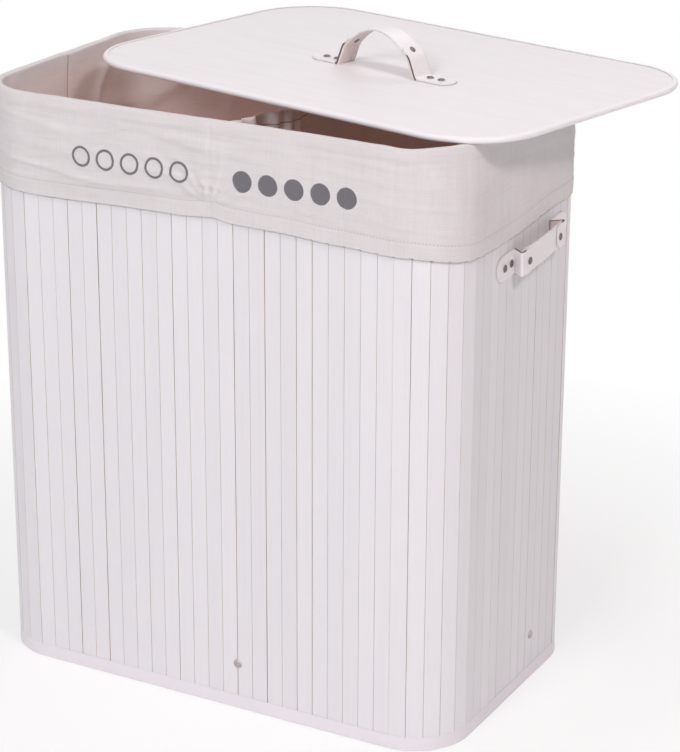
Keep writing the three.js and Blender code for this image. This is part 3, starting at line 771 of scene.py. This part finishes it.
class Cuff:
    """Shape of the cuff's cloth, by the run round the mat and the way up its outside."""

    def __init__(self, context):
        self.outline = mat_outline(context)
        self.liner = context.scene.hamper_liner
        self.pitch = self.outline.total / context.scene.hamper_mat.slats
        self.out = CUFF_OUT - FOLD_ROOM

    def share(self, run):
        """A run as a share of the front's half width, the measure of the hem's and the rim's lines."""
        return self.outline.front_place(run) / (MAT_WIDTH / 2)

    def edge(self, run):
        sway = self.liner.hem_sway * (1 + between(HEM_LINE, self.share(run)))
        return CUFF_BOTTOM + sway + 0.0004 * soft(run * 22, 3.0, 0.5)

    def top(self, run):
        sag = self.liner.rim_sag * between(RIM_LINE, self.share(run))
        return RIM - sag - 0.0009 * abs(soft(run * 26, 8.0, 2.5))

    def stand_off(self, run, height):
        """How far the cuff's face stands off the slats at a run and a height."""
        liner = self.liner
        edge, top = self.edge(run), self.top(run)
        up = height - edge
        level = up / (top - edge)
        beside = self.outline.front_place(run) - SEAM_X
        loose = eased((up - liner.hem * 0.7) / 0.012) * eased((1 - level) * 6)
        off = self.out + liner.bulge * math.sin(math.pi * min(1.0, max(0.0, level)))
        off += drawn_edge(up - liner.hem, 0.0011, 0.0005, 0.0009)
        off += self.seam(beside, up, level) + self.slats(run, level)
        off += drawn_edge(top - height - BAND_DEPTH, 0.0014, 0.0007, 0.0004)
        off += liner.pucker * self.gathers(beside, up - liner.hem * 0.8) * loose
        off += liner.wrinkle * self.creases(run, height) * loose * (1 - 0.6 * self.embroidered(run, height))
        return off

    def embroidered(self, run, height):
        """How near a place is to the embroidery, whose stitches keep the cloth flat."""
        place = self.outline.front_place(run)
        reach = 2.6 * self.liner.mark_pitch
        near = max(1 - eased((abs(place - middle) - reach) / 0.012) for middle in MARK_PLACES)
        return near * (1 - eased((abs(height - MARK_HEIGHT) - self.liner.mark * 0.6) / 0.01))

    def seam(self, beside, up, level):
        """The seam of the cuff's two halves: a drawn-in line with its allowances beside it."""
        drawn = bell(beside - 0.0006 * math.sin(up * 190), 0.0012)
        allowance = bell(abs(beside) - 0.0042, 0.0022)
        return (0.00035 * allowance - 0.0009 * drawn) * eased((1 - level) * 12)

    def slats(self, run, level):
        """The slats' faces, faint through the cloth."""
        place = self.outline.front_place(run)
        firm = max(eased((place - 0.085) / 0.05), eased((-place - 0.17) / 0.05))
        ridge = math.cos(2 * math.pi * run / self.pitch)
        return -self.liner.slat_print * firm * max(0.0, ridge) ** 3 * eased((1 - level) * 5)

    def gathers(self, beside, up):
        """Wrinkles that spread from the foot of the seam."""
        radius, angle = math.hypot(beside, up), math.atan2(up, beside)
        wave = math.sin(15 * angle + 3.4 * soft(radius * 24, angle * 1.7, 3.1))
        return math.exp(-radius / 0.06) * eased(radius / 0.016) * (0.35 + 0.65 * wave)

    def creases(self, run, height):
        """Long soft folds that lie along the cuff, sharper on their crests."""
        place = self.outline.front_place(run)
        much = 0.2 + 0.8 * bell(place + 0.08, 0.12) + 0.1 * bell(place - 0.27, 0.07)
        slope = height + 0.11 * place + 0.004 * soft(place * 16, height * 9, 0.4)
        long_fold = crest(3.4, place * 4.0 + 2.0, slope * 56, 7.7)
        fine_fold = crest(2.8, place * 12.0, (height - 0.10 * place) * 105, 1.9)
        return much * (long_fold ** 1.5 + 0.32 * fine_fold ** 2) - 0.2

    def cloth_line(self, run):
        """Down the whole cloth: hem turned under, cuff, fold over the rim, and the wall inside.

        Each point is how far out it is, its height, how far it is sunk in the bins, and its height over the
        hem's line.
        """
        liner = self.liner
        edge, top = self.edge(run), self.top(run)
        under, inner, bend = TAPE_OUT + 0.0009, LINER_OUT - liner.cloth, liner.rim_bend
        turns = [step / 5 * math.pi / 2 for step in range(6)]
        line = [(under, edge + liner.hem * share, 0.0, 1.0) for share in (0.85, 0.45, 0.12)]
        line.append((under + 0.0005, edge, 0.0, 1.0))
        rows = 52
        for row in range(rows + 1):
            height = edge + 0.0005 + (top - bend - edge - 0.0005) * row / rows
            line.append((self.stand_off(run, height), height, 0.0, height - edge - liner.hem))
        start, shoulder = line[-1][0], top - bend
        over_rim = [
            *((start - bend + bend * math.cos(turn), shoulder + bend * math.sin(turn)) for turn in turns[1:]),
            ((start + inner) / 2, top + 0.0002),
            *((inner + bend - bend * math.sin(turn), shoulder + bend * math.cos(turn)) for turn in turns[:-1]),
        ]
        line += [(out, height, 0.0, 1.0) for out, height in over_rim]
        inside_rows = 15
        for row in range(inside_rows + 1):
            down = bend + (liner.return_depth - bend) * row / inside_rows
            # How sunk the cloth is sets its painted shade and painted glow
            out, sunk = inner - self.inside_fold(run, top - down), down / liner.warm_shade_depth
            line.append((out, top - down, sunk, self.side_seam(run, down)))
        return line

    def side_seam(self, run, down):
        """How far a place inside is from the left side's seam, which wavers on its way down."""
        return self.outline.front_place(run) + self.outline.total / 4 - 0.004 * math.sin(down * 30)

    def inside_fold(self, run, height):
        """How far the cloth inside stands off the wall into the bins."""
        depth = RIM - height
        place = self.outline.front_place(run)
        from_divider = abs(self.outline.at(run, 0.0).x - MIDDLE.x - SEAM_X)
        loose = eased(depth / 0.035) * eased((from_divider - 0.004) / 0.035)
        folds = max(0.0, soft(place * 11, height * 3.5 + place, 6.6)) * 0.0060
        creases = crest(3.2, place * 9.0, (height + 0.5 * place) * 15, 2.6) ** 2 * 0.0036
        seam = bell(self.side_seam(run, depth), 0.0020)
        return loose * (folds + creases) - 0.0006 * seam * eased(depth / 0.01)


def cloth_sheet(columns, rows, place):
    """Mesh of a grid of cloth, laid out by place(u, v) at each of its vertices.

    That gives the vertex's place, how far it is sunk in the bins, how far it is over the hem's line, and
    where it is on the cloth's own map, in metres along and down.
    """
    bm = bmesh.new()
    sunk, over_hem = (bm.verts.layers.float.new(name) for name in ("sunk", "over_hem"))
    measures = {}
    for vertex, u, v in grid_shares(bm, columns, rows):
        vertex.co, vertex[sunk], vertex[over_hem], measures[vertex] = place(u, v)
    layer = bm.loops.layers.uv.new("cloth")
    for face in bm.faces:
        for loop in face.loops:
            loop[layer].uv = measures[loop.vert]
    close_up(bm)
    return bm


def cloth_wall(outline, line_at, columns, length):
    """Cloth round the outline: line_at(run) gives its points as (out, height, sunk, over the hem's line)."""
    lines = [line_at(column / columns * outline.total) for column in range(columns)]
    rows = len(lines[0]) - 1

    def place(u, v):
        column = round(u * columns) % columns
        out, height, sunk, over_hem = lines[column][round(v * rows)]
        spot = outline.at(column / columns * outline.total, out)
        return (spot.x, spot.y, height), sunk, over_hem, (u * outline.total, v * length)

    return cloth_sheet(columns, rows, place)


def thicken(piece, thickness, second_material=0):
    """Gives a sheet its thickness, half of it on each side; its back can have a material of its own."""
    solid = piece.modifiers.new("cloth", "SOLIDIFY")
    solid.thickness, solid.offset, solid.material_offset = thickness, 0.0, second_material


class HAMPER_OT_liner_cuff(bpy.types.Operator):
    """Make the cuff folded over the rim, with its hem, seam and the cloth just inside"""
    bl_idname = "hamper.liner_cuff"
    bl_label = "Liner cuff"

    def execute(self, context):
        cuff, look = Cuff(context), finishes(context)
        bm = cloth_wall(cuff.outline, cuff.cloth_line, columns=736, length=0.27)
        halves = ["liner_cuff_left", "liner_cuff_right"]
        new_piece("liner_cuff", bm, [look["cloth"]], "liner", halves)
        return {"FINISHED"}


class HAMPER_OT_liner_bags(bpy.types.Operator):
    """Make the bins' cloth walls below the cuff, and their floor"""
    bl_idname = "hamper.liner_bags"
    bl_label = "Liner bags and floor"

    def execute(self, context):
        liner, look, cuff = context.scene.hamper_liner, finishes(context), Cuff(context)
        outline = cuff.outline
        top, inner = RIM - liner.return_depth + BAG_LAP, LINER_OUT - liner.cloth * 0.5
        rows = 64

        def line(run):
            points = []
            for row in range(rows + 1):
                height = top + (LINER_FLOOR + 0.001 - top) * row / rows
                depth = RIM - height
                fold = cuff.inside_fold(run, height) * (1 - 1.1 * max(0.0, depth - liner.return_depth))
                behind = 0.0003 * (1 - eased((top - height) / (BAG_LAP * 1.5)))
                out = inner + behind - fold * eased((height - LINER_FLOOR) / 0.05)
                # How sunk the cloth is sets its painted shade and painted glow
                points.append((out, height, min(1.0, depth / liner.warm_shade_depth), 1.0))
            return points

        bm = cloth_wall(outline, line, columns=368, length=top - LINER_FLOOR)
        # A thickened sheet's first material is the one outside, where the faces have to look
        first = next(iter(bm.faces))
        if first.normal.dot(first.calc_center_median() - MIDDLE) < 0:
            bmesh.ops.reverse_faces(bm, faces=bm.faces)
        bags = new_piece(
            "liner_bags", bm, [look["cloth_outside"], look["cloth"]], "liner",
            ["liner_bag_left", "liner_bag_right"])
        thicken(bags, liner.cloth, second_material=1)

        def floor_place(u, v):
            rim = outline.at(u * outline.total, inner)
            along = min(max(rim.x, MIDDLE.x - outline.flat_x), MIDDLE.x + outline.flat_x)
            spot = rim.lerp(Vector((along, MIDDLE.y, 0.0)), v)
            wave = 0.0012 * max(0.0, soft(spot.x * 12, spot.y * 12, 3.3)) * eased(v * 6)
            # The floor's cloth is fully sunk: full painted shade and painted glow
            return (spot.x, spot.y, LINER_FLOOR - 0.0006 + wave), 1.0, 1.0, (spot.x, spot.y)

        bm = cloth_sheet(columns=200, rows=24, place=floor_place)
        new_piece("liner_floor_cloth", bm, [look["cloth"]], "liner", ["liner_floor"])
        return {"FINISHED"}


class HAMPER_OT_divider(bpy.types.Operator):
    """Make the cloth wall between the two bins, with its hem and crumpled folds"""
    bl_idname = "hamper.divider"
    bl_label = "Divider"

    def execute(self, context):
        liner, look = context.scene.hamper_liner, finishes(context)
        low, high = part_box("liner_divider")
        reach = high.y - low.y
        hem, sag, wave_height, pleat_height = 0.012, 0.0135, 0.0052, 0.0042

        def place(u, v):
            swell = math.sin(math.pi * u)
            top = high.z - sag * swell ** 2 - 0.0016 * soft(u * 12, 1.1, 0.3)
            height = low.z + (top - low.z) * v
            upper = eased((v - 0.25) / 0.7)
            wave = wave_height * swell * math.sin(5 * math.pi * u)
            crumple = 0.004 * soft(u * 6.5, v * 16 + u * 5, 4.2) + 0.0022 * soft(u * 16, v * 34, 8.8)
            pleats = math.sin(2 * math.pi * (u * 11 + 0.9 * soft(u * 4, v * 6, 2.0)) - 3.0 * v)
            pleats *= pleat_height * bell(u - 0.30, 0.17)
            over_hem = height + hem - top
            line = 0.0006 * bell(over_hem, 0.0012)
            side = upper * (wave + pleats) + swell * (0.35 + upper) * crumple * 0.8 - line
            # How sunk the divider is sets its painted shade and glow; 0.15 at its hem gives the hem the full
            # painted glow
            sunk = min(1.0, 0.15 + max(0.0, -over_hem / 0.12))
            spot = (MIDDLE.x + SEAM_X + side, low.y + reach * u, height)
            return spot, sunk, over_hem, (u * reach, v * (high.z - low.z))

        bm = cloth_sheet(columns=150, rows=150, place=place)
        piece = new_piece("divider_cloth", bm, [look["cloth"]], "liner", ["liner_divider"])
        thicken(piece, liner.cloth)
        return {"FINISHED"}


# Lid

class HAMPER_OT_lid(bpy.types.Operator):
    """Finish the lid's board and make the rounded tape round its edge"""
    bl_idname = "hamper.lid"
    bl_label = "Lid"

    def execute(self, context):
        lid, look = context.scene.hamper_lid, finishes(context)
        dress_node("lid_board", look["lid"])
        low, high = node_low("lid_binding").z, node_high("lid_binding").z
        half, middle = (high - low) / 2, (high + low) / 2
        reach, tape, edge_round = lid.tape_reach, lid.tape, 0.0003
        turns = [math.pi * (step / 8 - 0.5) for step in range(1, 8)]
        section = [
            (-reach, low), (-half, low),
            *((-half + half * math.cos(turn), middle + half * math.sin(turn)) for turn in turns),
            (-half, high), (-reach, high), (-reach - edge_round, high - tape / 2), (-reach, high - tape),
            (-half, high - tape), (-half, low + tape),
            (-reach, low + tape), (-reach - edge_round, low + tape / 2),
        ]
        bm = swept_ring(lid_outline(context), section, columns=480)
        piece = new_piece("lid_edge_tape", bm, [look["lid_tape"]], "lid", ["lid_binding"])
        sharpen(piece)
        return {"FINISHED"}


# Handles

# How each handle's straps stand: their shoulders' height, how far the risers lean in, the bends
# at foot and shoulder, how far past the shoulder its rivet is, and whether the grip lines the risers
SIDE_STRAPS = (0.013, -0.009, 0.0042, 0.003, 0.008, False)
STRAP_SHAPES = {
    "lid_handle": (0.020, 0.0075, 0.002, 0.004, 0.007, True),
    "right_handle": SIDE_STRAPS,
    "left_handle": SIDE_STRAPS,
}
STRAP_GAP = 0.0003


class Handle:
    """One strap handle: its own axes (along, out, across) and the line that its straps follow."""

    def __init__(self, name, context):
        self.straps = context.scene.hamper_straps
        self.body = "lid" if name == "lid_handle" else "frame"
        self.rise, self.lean, self.foot_bend, self.shoulder_bend = STRAP_SHAPES[name][:4]
        self.rivet_reach, self.lined = STRAP_SHAPES[name][4:]
        near, far = node_middle(f"{name}_foot_rivet_1"), node_middle(f"{name}_foot_rivet_4")
        self.along = (far - near).normalized()
        self.out, base = {
            "lid_handle": (Vector((0, 0, 1)), node_high("lid_board").z),
            "right_handle": (Vector((1, 0, 0)), node_high("wall_right").x),
            "left_handle": (Vector((-1, 0, 0)), -node_low("wall_left").x),
        }[name]
        self.across = self.along.cross(self.out)
        middle = (near + far) / 2
        self.middle = middle + self.out * (base - middle.dot(self.out))
        self.half = (far - near).length / 2 - self.straps.outer_rivet
        low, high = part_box(f"{name}_grip")
        self.top = max(low.dot(self.out), high.dot(self.out)) - base + self.straps.thickness / 2 + STRAP_GAP
        self.riser = math.hypot(self.rise, self.lean)

    def place(self, along, out, across):
        return self.middle + self.along * along + self.out * out + self.across * across

    def turned(self):
        """The same handle, seen from its far end."""
        other = copy.copy(self)
        other.along, other.across = -self.along, -self.across
        return other

    def outer_line(self):
        """Middle line of the outer layer, from foot end to foot end, as (along, out) points."""
        low = STRAP_GAP + self.straps.thickness / 2
        shoulder, steps = self.half - self.lean, 30
        line = [Vector((-self.half - self.straps.foot, low)), Vector((-self.half, low))]
        for step in range(steps + 1):
            share = 2 * step / steps - 1
            line.append(Vector((shoulder * share, self.rise + (self.top - self.rise) * (1 - share * share))))
        line += [Vector((self.half, low)), Vector((self.half + self.straps.foot, low))]
        radii = [0.0] * len(line)
        radii[1] = radii[-2] = self.foot_bend
        radii[2] = radii[-3] = self.shoulder_bend
        return bent(line, radii)


def bent(line, radii):
    """A line with each corner of a given radius replaced by a curve."""
    points = []
    for index, (point, radius) in enumerate(zip(line, radii)):
        if radius:
            points += corner_curve(line[index - 1], point, line[index + 1], radius, steps=8, most=0.5)
        else:
            points.append(point)
    return points


def line_length(line):
    return sum((b - a).length for a, b in zip(line, line[1:]))


def beside(line, distance):
    """A line at a distance to the left of another."""
    moved = []
    for index, point in enumerate(line):
        way = (line[min(index + 1, len(line) - 1)] - line[max(index - 1, 0)]).normalized()
        moved.append(point + Vector((-way.y, way.x)) * distance)
    return moved


def on_line(line, distance):
    """Place and direction at a distance along a line."""
    run = 0.0
    for a, b in zip(line, line[1:]):
        length = (b - a).length
        if run + length >= distance or b is line[-1]:
            way = (b - a) / length
            return a + way * (distance - run), way
        run += length


def strap_piece(handle, line, start, end, name, node, look, rounded=False):
    """A flat strip, cut to shape, given its thickness and cut edges, and bent along part of a line.

    A foot's strap, whose outer end is rounded, has its coat rubbed off the edges of its riser.
    """
    straps = handle.straps
    half, length, inner_round = straps.width / 2, end - start, 0.006
    bm = bmesh.new()
    rubbed = bm.verts.layers.float.new("rubbed")
    for vertex, share, side in grid_shares(bm, max(12, round(length / 0.0010)), 10):
        side = side * 2 - 1
        curve = 1 - math.sqrt(max(0.0, 1 - (side * 0.999) ** 2)) if rounded else 0.0
        first, last = half * curve, length - inner_round * curve
        vertex.co = (first + (last - first) * share, side * half, 0.0)
    bmesh.ops.solidify(bm, geom=list(bm.faces), thickness=straps.thickness)
    bmesh.ops.recalc_face_normals(bm, faces=bm.faces)
    rim = [edge for edge in bm.edges if len({abs(face.normal.z) < 0.5 for face in edge.link_faces}) == 2]
    bmesh.ops.bevel(bm, geom=rim, offset=straps.cut, affect="EDGES", segments=2, profile=0.5, material=-1)
    heights = [vertex.co.z for vertex in bm.verts]
    middle = (max(heights) + min(heights)) / 2
    for face in bm.faces:
        face.material_index = 1 if abs(face.normal.z) < 0.95 else 0 if face.normal.z > 0 else 2
    for vertex in bm.verts:
        run = start + vertex.co.x
        point, way = on_line(line, run)
        past_foot = run - straps.foot
        worn = eased((past_foot + 0.003) / 0.002) * (1 - eased((past_foot - handle.riser - 0.001) / 0.004))
        vertex[rubbed] = worn if rounded else 0.0
        spot = point + Vector((-way.y, way.x)) * (vertex.co.z - middle)
        vertex.co = handle.place(spot.x, spot.y, vertex.co.y)
    bmesh.ops.recalc_face_normals(bm, faces=bm.faces)
    materials = [look["strap"], look["strap_edge"], look["strap_back"]]
    piece = new_piece(name, bm, materials, handle.body, [node])
    sharpen(piece, degrees=50)


class HAMPER_OT_handles(bpy.types.Operator):
    """Make the grip and foot straps of the three handles"""
    bl_idname = "hamper.handles"
    bl_label = "Strap handles"

    def execute(self, context):
        look = finishes(context)
        for name in STRAP_SHAPES:
            handle = Handle(name, context)
            straps, line = handle.straps, handle.outer_line()
            foot = straps.foot + handle.riser + straps.overlap
            for end, seen in (("near", handle), ("far", handle.turned())):
                strap_piece(seen, line, 0.0, foot, f"{name}_strap_{end}", f"{name}_foot_{end}", look, True)
            inner = beside(line, -(straps.thickness + STRAP_GAP))
            start = straps.foot + (0.0015 if handle.lined else handle.riser + handle.shoulder_bend)
            strap_piece(
                handle, inner, start, line_length(inner) - start, f"{name}_grip_strap", f"{name}_grip", look)
        return {"FINISHED"}


# Rivets

# How high a rivet's head is for its radius, and how thick its tail is
DOME, RIVET_TAIL = 0.4, 0.0008


def rivet_mesh(radius, place, axis, shank):
    """A domed head with a rolled rim, its shank and the flat tail, spun round the axis."""
    bm = bmesh.new()
    head, rise = radius, radius * DOME
    profile = [
        (0.0, rise), (head * 0.35, rise * 0.96), (head * 0.65, rise * 0.78), (head * 0.86, rise * 0.5),
        (head * 0.97, rise * 0.22), (head, rise * 0.08), (head * 0.98, 0.0002), (head * 0.5, 0.0001),
        (head * 0.5, -shank), (head * 0.79, -shank - 0.0001),
        (head * 0.79, -shank - RIVET_TAIL + 0.0001), (0.0, -shank - RIVET_TAIL),
    ]
    points = [bm.verts.new((across, 0.0, up)) for across, up in profile]
    edges = [bm.edges.new(pair) for pair in zip(points, points[1:])]
    bmesh.ops.spin(
        bm, geom=points + edges, cent=(0, 0, 0), axis=(0, 0, 1), angle=2 * math.pi, steps=28, use_merge=True)
    close_up(bm)
    turn = axis.to_track_quat("Z", "Y").to_matrix().to_4x4()
    bmesh.ops.transform(bm, matrix=Matrix.Translation(place) @ turn, verts=bm.verts)
    return bm


class HAMPER_OT_rivets(bpy.types.Operator):
    """Make the domed rivets of the handles and of the base's clips"""
    bl_idname = "hamper.rivets"
    bl_label = "Rivets"

    def execute(self, context):
        look, straps = finishes(context), context.scene.hamper_straps
        for wall, way in WALLS.items():
            node = f"clip_rivet_{wall}"
            self.one(node, straps.clip_rivet_radius, Vector(way), "frame", look["clip_rivet"])
        for name in STRAP_SHAPES:
            handle = Handle(name, context)
            for index in (1, 2, 3, 4):
                node = f"{name}_foot_rivet_{index}"
                self.one(node, straps.rivet_radius, handle.out, handle.body, look["rivet"])
            way = on_line(handle.outer_line(), straps.foot + handle.riser + handle.rivet_reach)[1]
            for end, sign in (("near", 1), ("far", -1)):
                axis = (handle.out * way.x - handle.along * way.y * sign).normalized()
                node = f"{name}_shoulder_rivet_{end}"
                self.one(node, straps.rivet_radius, axis, handle.body, look["rivet"])
        return {"FINISHED"}

    def one(self, node, radius, axis, body, material):
        """A rivet as long as its solid, along the axis through the solid's middle."""
        low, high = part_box(node)
        size = high - low
        spread = math.sqrt(max(0.0, 1 - max(abs(value) for value in axis) ** 2))
        longest = max(range(3), key=lambda index: abs(axis[index]))
        length = (size[longest] - 2 * radius * spread * 0.9) / abs(axis[longest])
        rise = radius * DOME
        seat = (low + high) / 2 + axis * (length / 2 - rise)
        bm = rivet_mesh(radius, seat, axis, length - rise - RIVET_TAIL)
        piece = new_piece(f"{node}_metal", bm, [material], body, [node])
        sharpen(piece, degrees=50)


# Embroidery

def add_mark(bm, threads, cuff, middle, inner, outer):
    """Adds a raised ring, or a disc where inner is nothing, of satin stitches on the cuff's face."""
    turns, rows, thread_width = 96, 8, 0.0008
    measures = {}
    for vertex, u, v in grid_shares(bm, turns, rows):
        angle = 2 * math.pi * u
        radius = inner + (outer - inner) * v
        run, height = middle + radius * math.cos(angle), MARK_HEIGHT + radius * math.sin(angle)
        if inner:
            crown = math.sin(math.pi * v) ** 0.5
            thread = 0.00012 * math.cos(48 * angle) * math.sin(math.pi * v)
            measures[vertex] = (u * turns / 2, v)
        else:
            crown, thread = math.sqrt(max(0.0, 1 - v ** 6)), 0.0
            measures[vertex] = (outer * v * math.sin(angle) / thread_width, v)
        spot = cuff.outline.at(run, cuff.stand_off(run, height) - 0.0001 + (0.0009 + thread) * crown)
        vertex.co = (spot.x, spot.y, height)
    for face in {face for vertex in measures for face in vertex.link_faces}:
        for loop in face.loops:
            loop[threads].uv = measures[loop.vert]


class HAMPER_OT_marks(bpy.types.Operator):
    """Embroider the plain marks of the two bins: open rings on one, filled discs on the other"""
    bl_idname = "hamper.marks"
    bl_label = "Embroidered marks"

    def execute(self, context):
        liner, look, cuff = context.scene.hamper_liner, finishes(context), Cuff(context)
        outer = liner.mark / 2
        for side, middle, inner in zip(("left", "right"), MARK_PLACES, (outer - liner.thread, 0.0)):
            bm = bmesh.new()
            threads = bm.loops.layers.uv.new("stitch")
            for step in (-2, -1, 0, 1, 2):
                add_mark(bm, threads, cuff, middle + step * liner.mark_pitch, inner, outer)
            close_up(bm)
            new_piece(f"embroidery_{side}", bm, [look["thread"]], "liner", ())
        return {"FINISHED"}


# Stage

# Each lamp's place from the hamper's middle, its size, its power and its tint
LAMPS = {
    "key": ((0.1, -3.05, 2.2), 1.4, 49.0, (1.0, 0.99, 1.0)),
    "side": ((2.4, -1.2, 2.6), 0.6, 36.0, (1.0, 0.87, 0.85)),
    "top": ((-0.6, -0.3, 3.2), 1.6, 13.5, (1.0, 1.0, 1.0)),
    "back": ((0.3, 2.7, 2.8), 2.0, 20.0, (1.0, 1.0, 1.0)),
}
LAMP_TARGET = Vector((MIDDLE.x, MIDDLE.y, 0.3))
WORLD_TINT, WORLD_STRENGTH = (1.0, 0.97, 0.96, 1.0), 0.33
# How far the floor reaches each way from the hamper's middle
FLOOR_REACH = 9.0
# The camera: its place from the middle of the hamper's foot, its axes, and its focal length in pixels
CAMERA_PLACE = Vector((1.20134, -2.07891, 1.19673))
CAMERA_RIGHT = Vector((0.87643, 0.48152, 0.00384))
CAMERA_DOWN = Vector((0.17209, -0.30577, -0.93642))
CAMERA_FORWARD = Vector((-0.44973, 0.82137, -0.35085))
FOCAL_PIXELS, FRAME_HEIGHT = 2520.37, 752


def area_lamp(name, place, size, power, tint):
    lamp = bpy.data.lights.new(name, "AREA")
    lamp.shape, lamp.size, lamp.energy, lamp.color = "DISK", size, power, tint
    holder = add_object(name, lamp)
    holder.location = LAMP_TARGET + Vector(place)
    holder.rotation_euler = (LAMP_TARGET - holder.location).to_track_quat("-Z", "Y").to_euler()


def white_to_camera(tree, plain, white, share=None):
    """Lights with one surface, and shows the other, or a share of it, to the camera and in reflections."""
    def joined(operation, first, second):
        node = tree.nodes.new("ShaderNodeMath")
        node.operation = operation
        tree.links.new(first, node.inputs[0])
        tree.links.new(second, node.inputs[1])
        return node.outputs[0]

    path = tree.nodes.new("ShaderNodeLightPath").outputs
    seen = joined("MAXIMUM", path["Is Camera Ray"], path["Is Glossy Ray"])
    seen = joined("MAXIMUM", seen, path["Is Transmission Ray"])
    if share:
        seen = joined("MULTIPLY", seen, share)
    mix = tree.nodes.new("ShaderNodeMixShader")
    tree.links.new(seen, mix.inputs[0])
    tree.links.new(plain, mix.inputs[1])
    tree.links.new(white, mix.inputs[2])
    return mix.outputs[0]


class HAMPER_OT_stage(bpy.types.Operator):
    """Set the pale floor, the soft studio light and the camera"""
    bl_idname = "hamper.stage"
    bl_label = "Stage"

    def execute(self, context):
        scene = context.scene
        scene.view_settings.view_transform = "Standard"
        self.world(scene)
        self.floor()
        for name, (place, size, power, tint) in LAMPS.items():
            area_lamp(name, place, size, power, tint)
        self.camera(scene)
        return {"FINISHED"}

    def world(self, scene):
        world = bpy.data.worlds.new("studio")
        scene.world = world
        world.use_nodes = True
        tree = world.node_tree
        soft_light = tree.nodes["Background"]
        soft_light.inputs["Color"].default_value = WORLD_TINT
        soft_light.inputs["Strength"].default_value = WORLD_STRENGTH
        white = tree.nodes.new("ShaderNodeBackground")
        white.inputs["Color"].default_value = (1.0, 1.0, 1.0, 1.0)
        white.inputs["Strength"].default_value = 1.0
        surface = white_to_camera(tree, soft_light.outputs[0], white.outputs[0])
        tree.links.new(surface, tree.nodes["World Output"].inputs["Surface"])

    def floor(self):
        bm = bmesh.new()
        bmesh.ops.create_grid(bm, x_segments=1, y_segments=1, size=FLOOR_REACH)
        bmesh.ops.translate(bm, verts=bm.verts, vec=(MIDDLE.x, MIDDLE.y, FLOOR_Z - 0.0005))
        mesh = bpy.data.meshes.new("studio_floor")
        bm.to_mesh(mesh)
        bm.free()
        shader = Shader("studio_floor")
        shader.set(Base_Color=(0.97, 0.97, 0.97), Roughness=0.9, Specular_IOR_Level=0.0)
        away = shader.node("ShaderNodeVectorMath", operation="DISTANCE")
        shader.feed(away.inputs[0], shader.coordinates())
        away.inputs[1].default_value = (MIDDLE.x, MIDDLE.y, FLOOR_Z)
        share = shader.range(away.outputs["Value"], 0.35, 0.9, 0.55, 1)
        white = shader.node("ShaderNodeEmission", Strength=1.0)
        plain = shader.surface.outputs[0]
        surface = white_to_camera(shader.tree, plain, white.outputs[0], share)
        shader.feed(shader.tree.nodes["Material Output"].inputs["Surface"], surface)
        mesh.materials.append(shader.material)
        add_object("studio_floor", mesh)

    def camera(self, scene):
        data = bpy.data.cameras.new("view")
        data.sensor_width = 36.0
        data.lens = FOCAL_PIXELS * data.sensor_width / FRAME_HEIGHT
        data.clip_end = 50.0
        camera = add_object("view", data)
        turn = Matrix((CAMERA_RIGHT, -CAMERA_DOWN, -CAMERA_FORWARD)).transposed()
        place = Vector((MIDDLE.x, MIDDLE.y, FLOOR_Z)) + CAMERA_PLACE
        camera.matrix_world = Matrix.Translation(place) @ turn.to_4x4()
        scene.camera = camera


OPERATORS = (
    HAMPER_OT_slat_mat,
    HAMPER_OT_mat_tape,
    HAMPER_OT_base,
    HAMPER_OT_liner_cuff,
    HAMPER_OT_liner_bags,
    HAMPER_OT_divider,
    HAMPER_OT_marks,
    HAMPER_OT_lid,
    HAMPER_OT_handles,
    HAMPER_OT_rivets,
    HAMPER_OT_stage,
)


class HAMPER_PT_panel(bpy.types.Panel):
    """The hamper's pieces and its sizes and colours"""
    bl_label = "Hamper"
    bl_idname = "HAMPER_PT_panel"
    bl_space_type = "VIEW_3D"
    bl_region_type = "UI"
    bl_category = "Hamper"

    def draw(self, context):
        for operator in OPERATORS:
            self.layout.operator(operator.bl_idname)
        for key in GROUPS:
            box = self.layout.box()
            group = getattr(context.scene, key)
            for field in group.bl_rna.properties:
                if field.identifier not in {"rna_type", "name"}:
                    box.prop(group, field.identifier)


def register():
    for group in GROUPS.values():
        bpy.utils.register_class(group)
    for key, group in GROUPS.items():
        setattr(bpy.types.Scene, key, PointerProperty(type=group))
    for operator in OPERATORS:
        bpy.utils.register_class(operator)
    bpy.utils.register_class(HAMPER_PT_panel)


def unregister():
    bpy.utils.unregister_class(HAMPER_PT_panel)
    for operator in reversed(OPERATORS):
        bpy.utils.unregister_class(operator)
    for key in GROUPS:
        delattr(bpy.types.Scene, key)
    for group in reversed(GROUPS.values()):
        bpy.utils.unregister_class(group)


def main():
    register()
    bpy.ops.hamper.stage()
    bpy.ops.hamper.slat_mat()
    bpy.ops.hamper.mat_tape()
    bpy.ops.hamper.base()
    bpy.ops.hamper.liner_cuff()
    bpy.ops.hamper.liner_bags()
    bpy.ops.hamper.divider()
    bpy.ops.hamper.marks()
    bpy.ops.hamper.lid()
    bpy.ops.hamper.handles()
    bpy.ops.hamper.rivets()


if __name__ == "__main__":
    main()
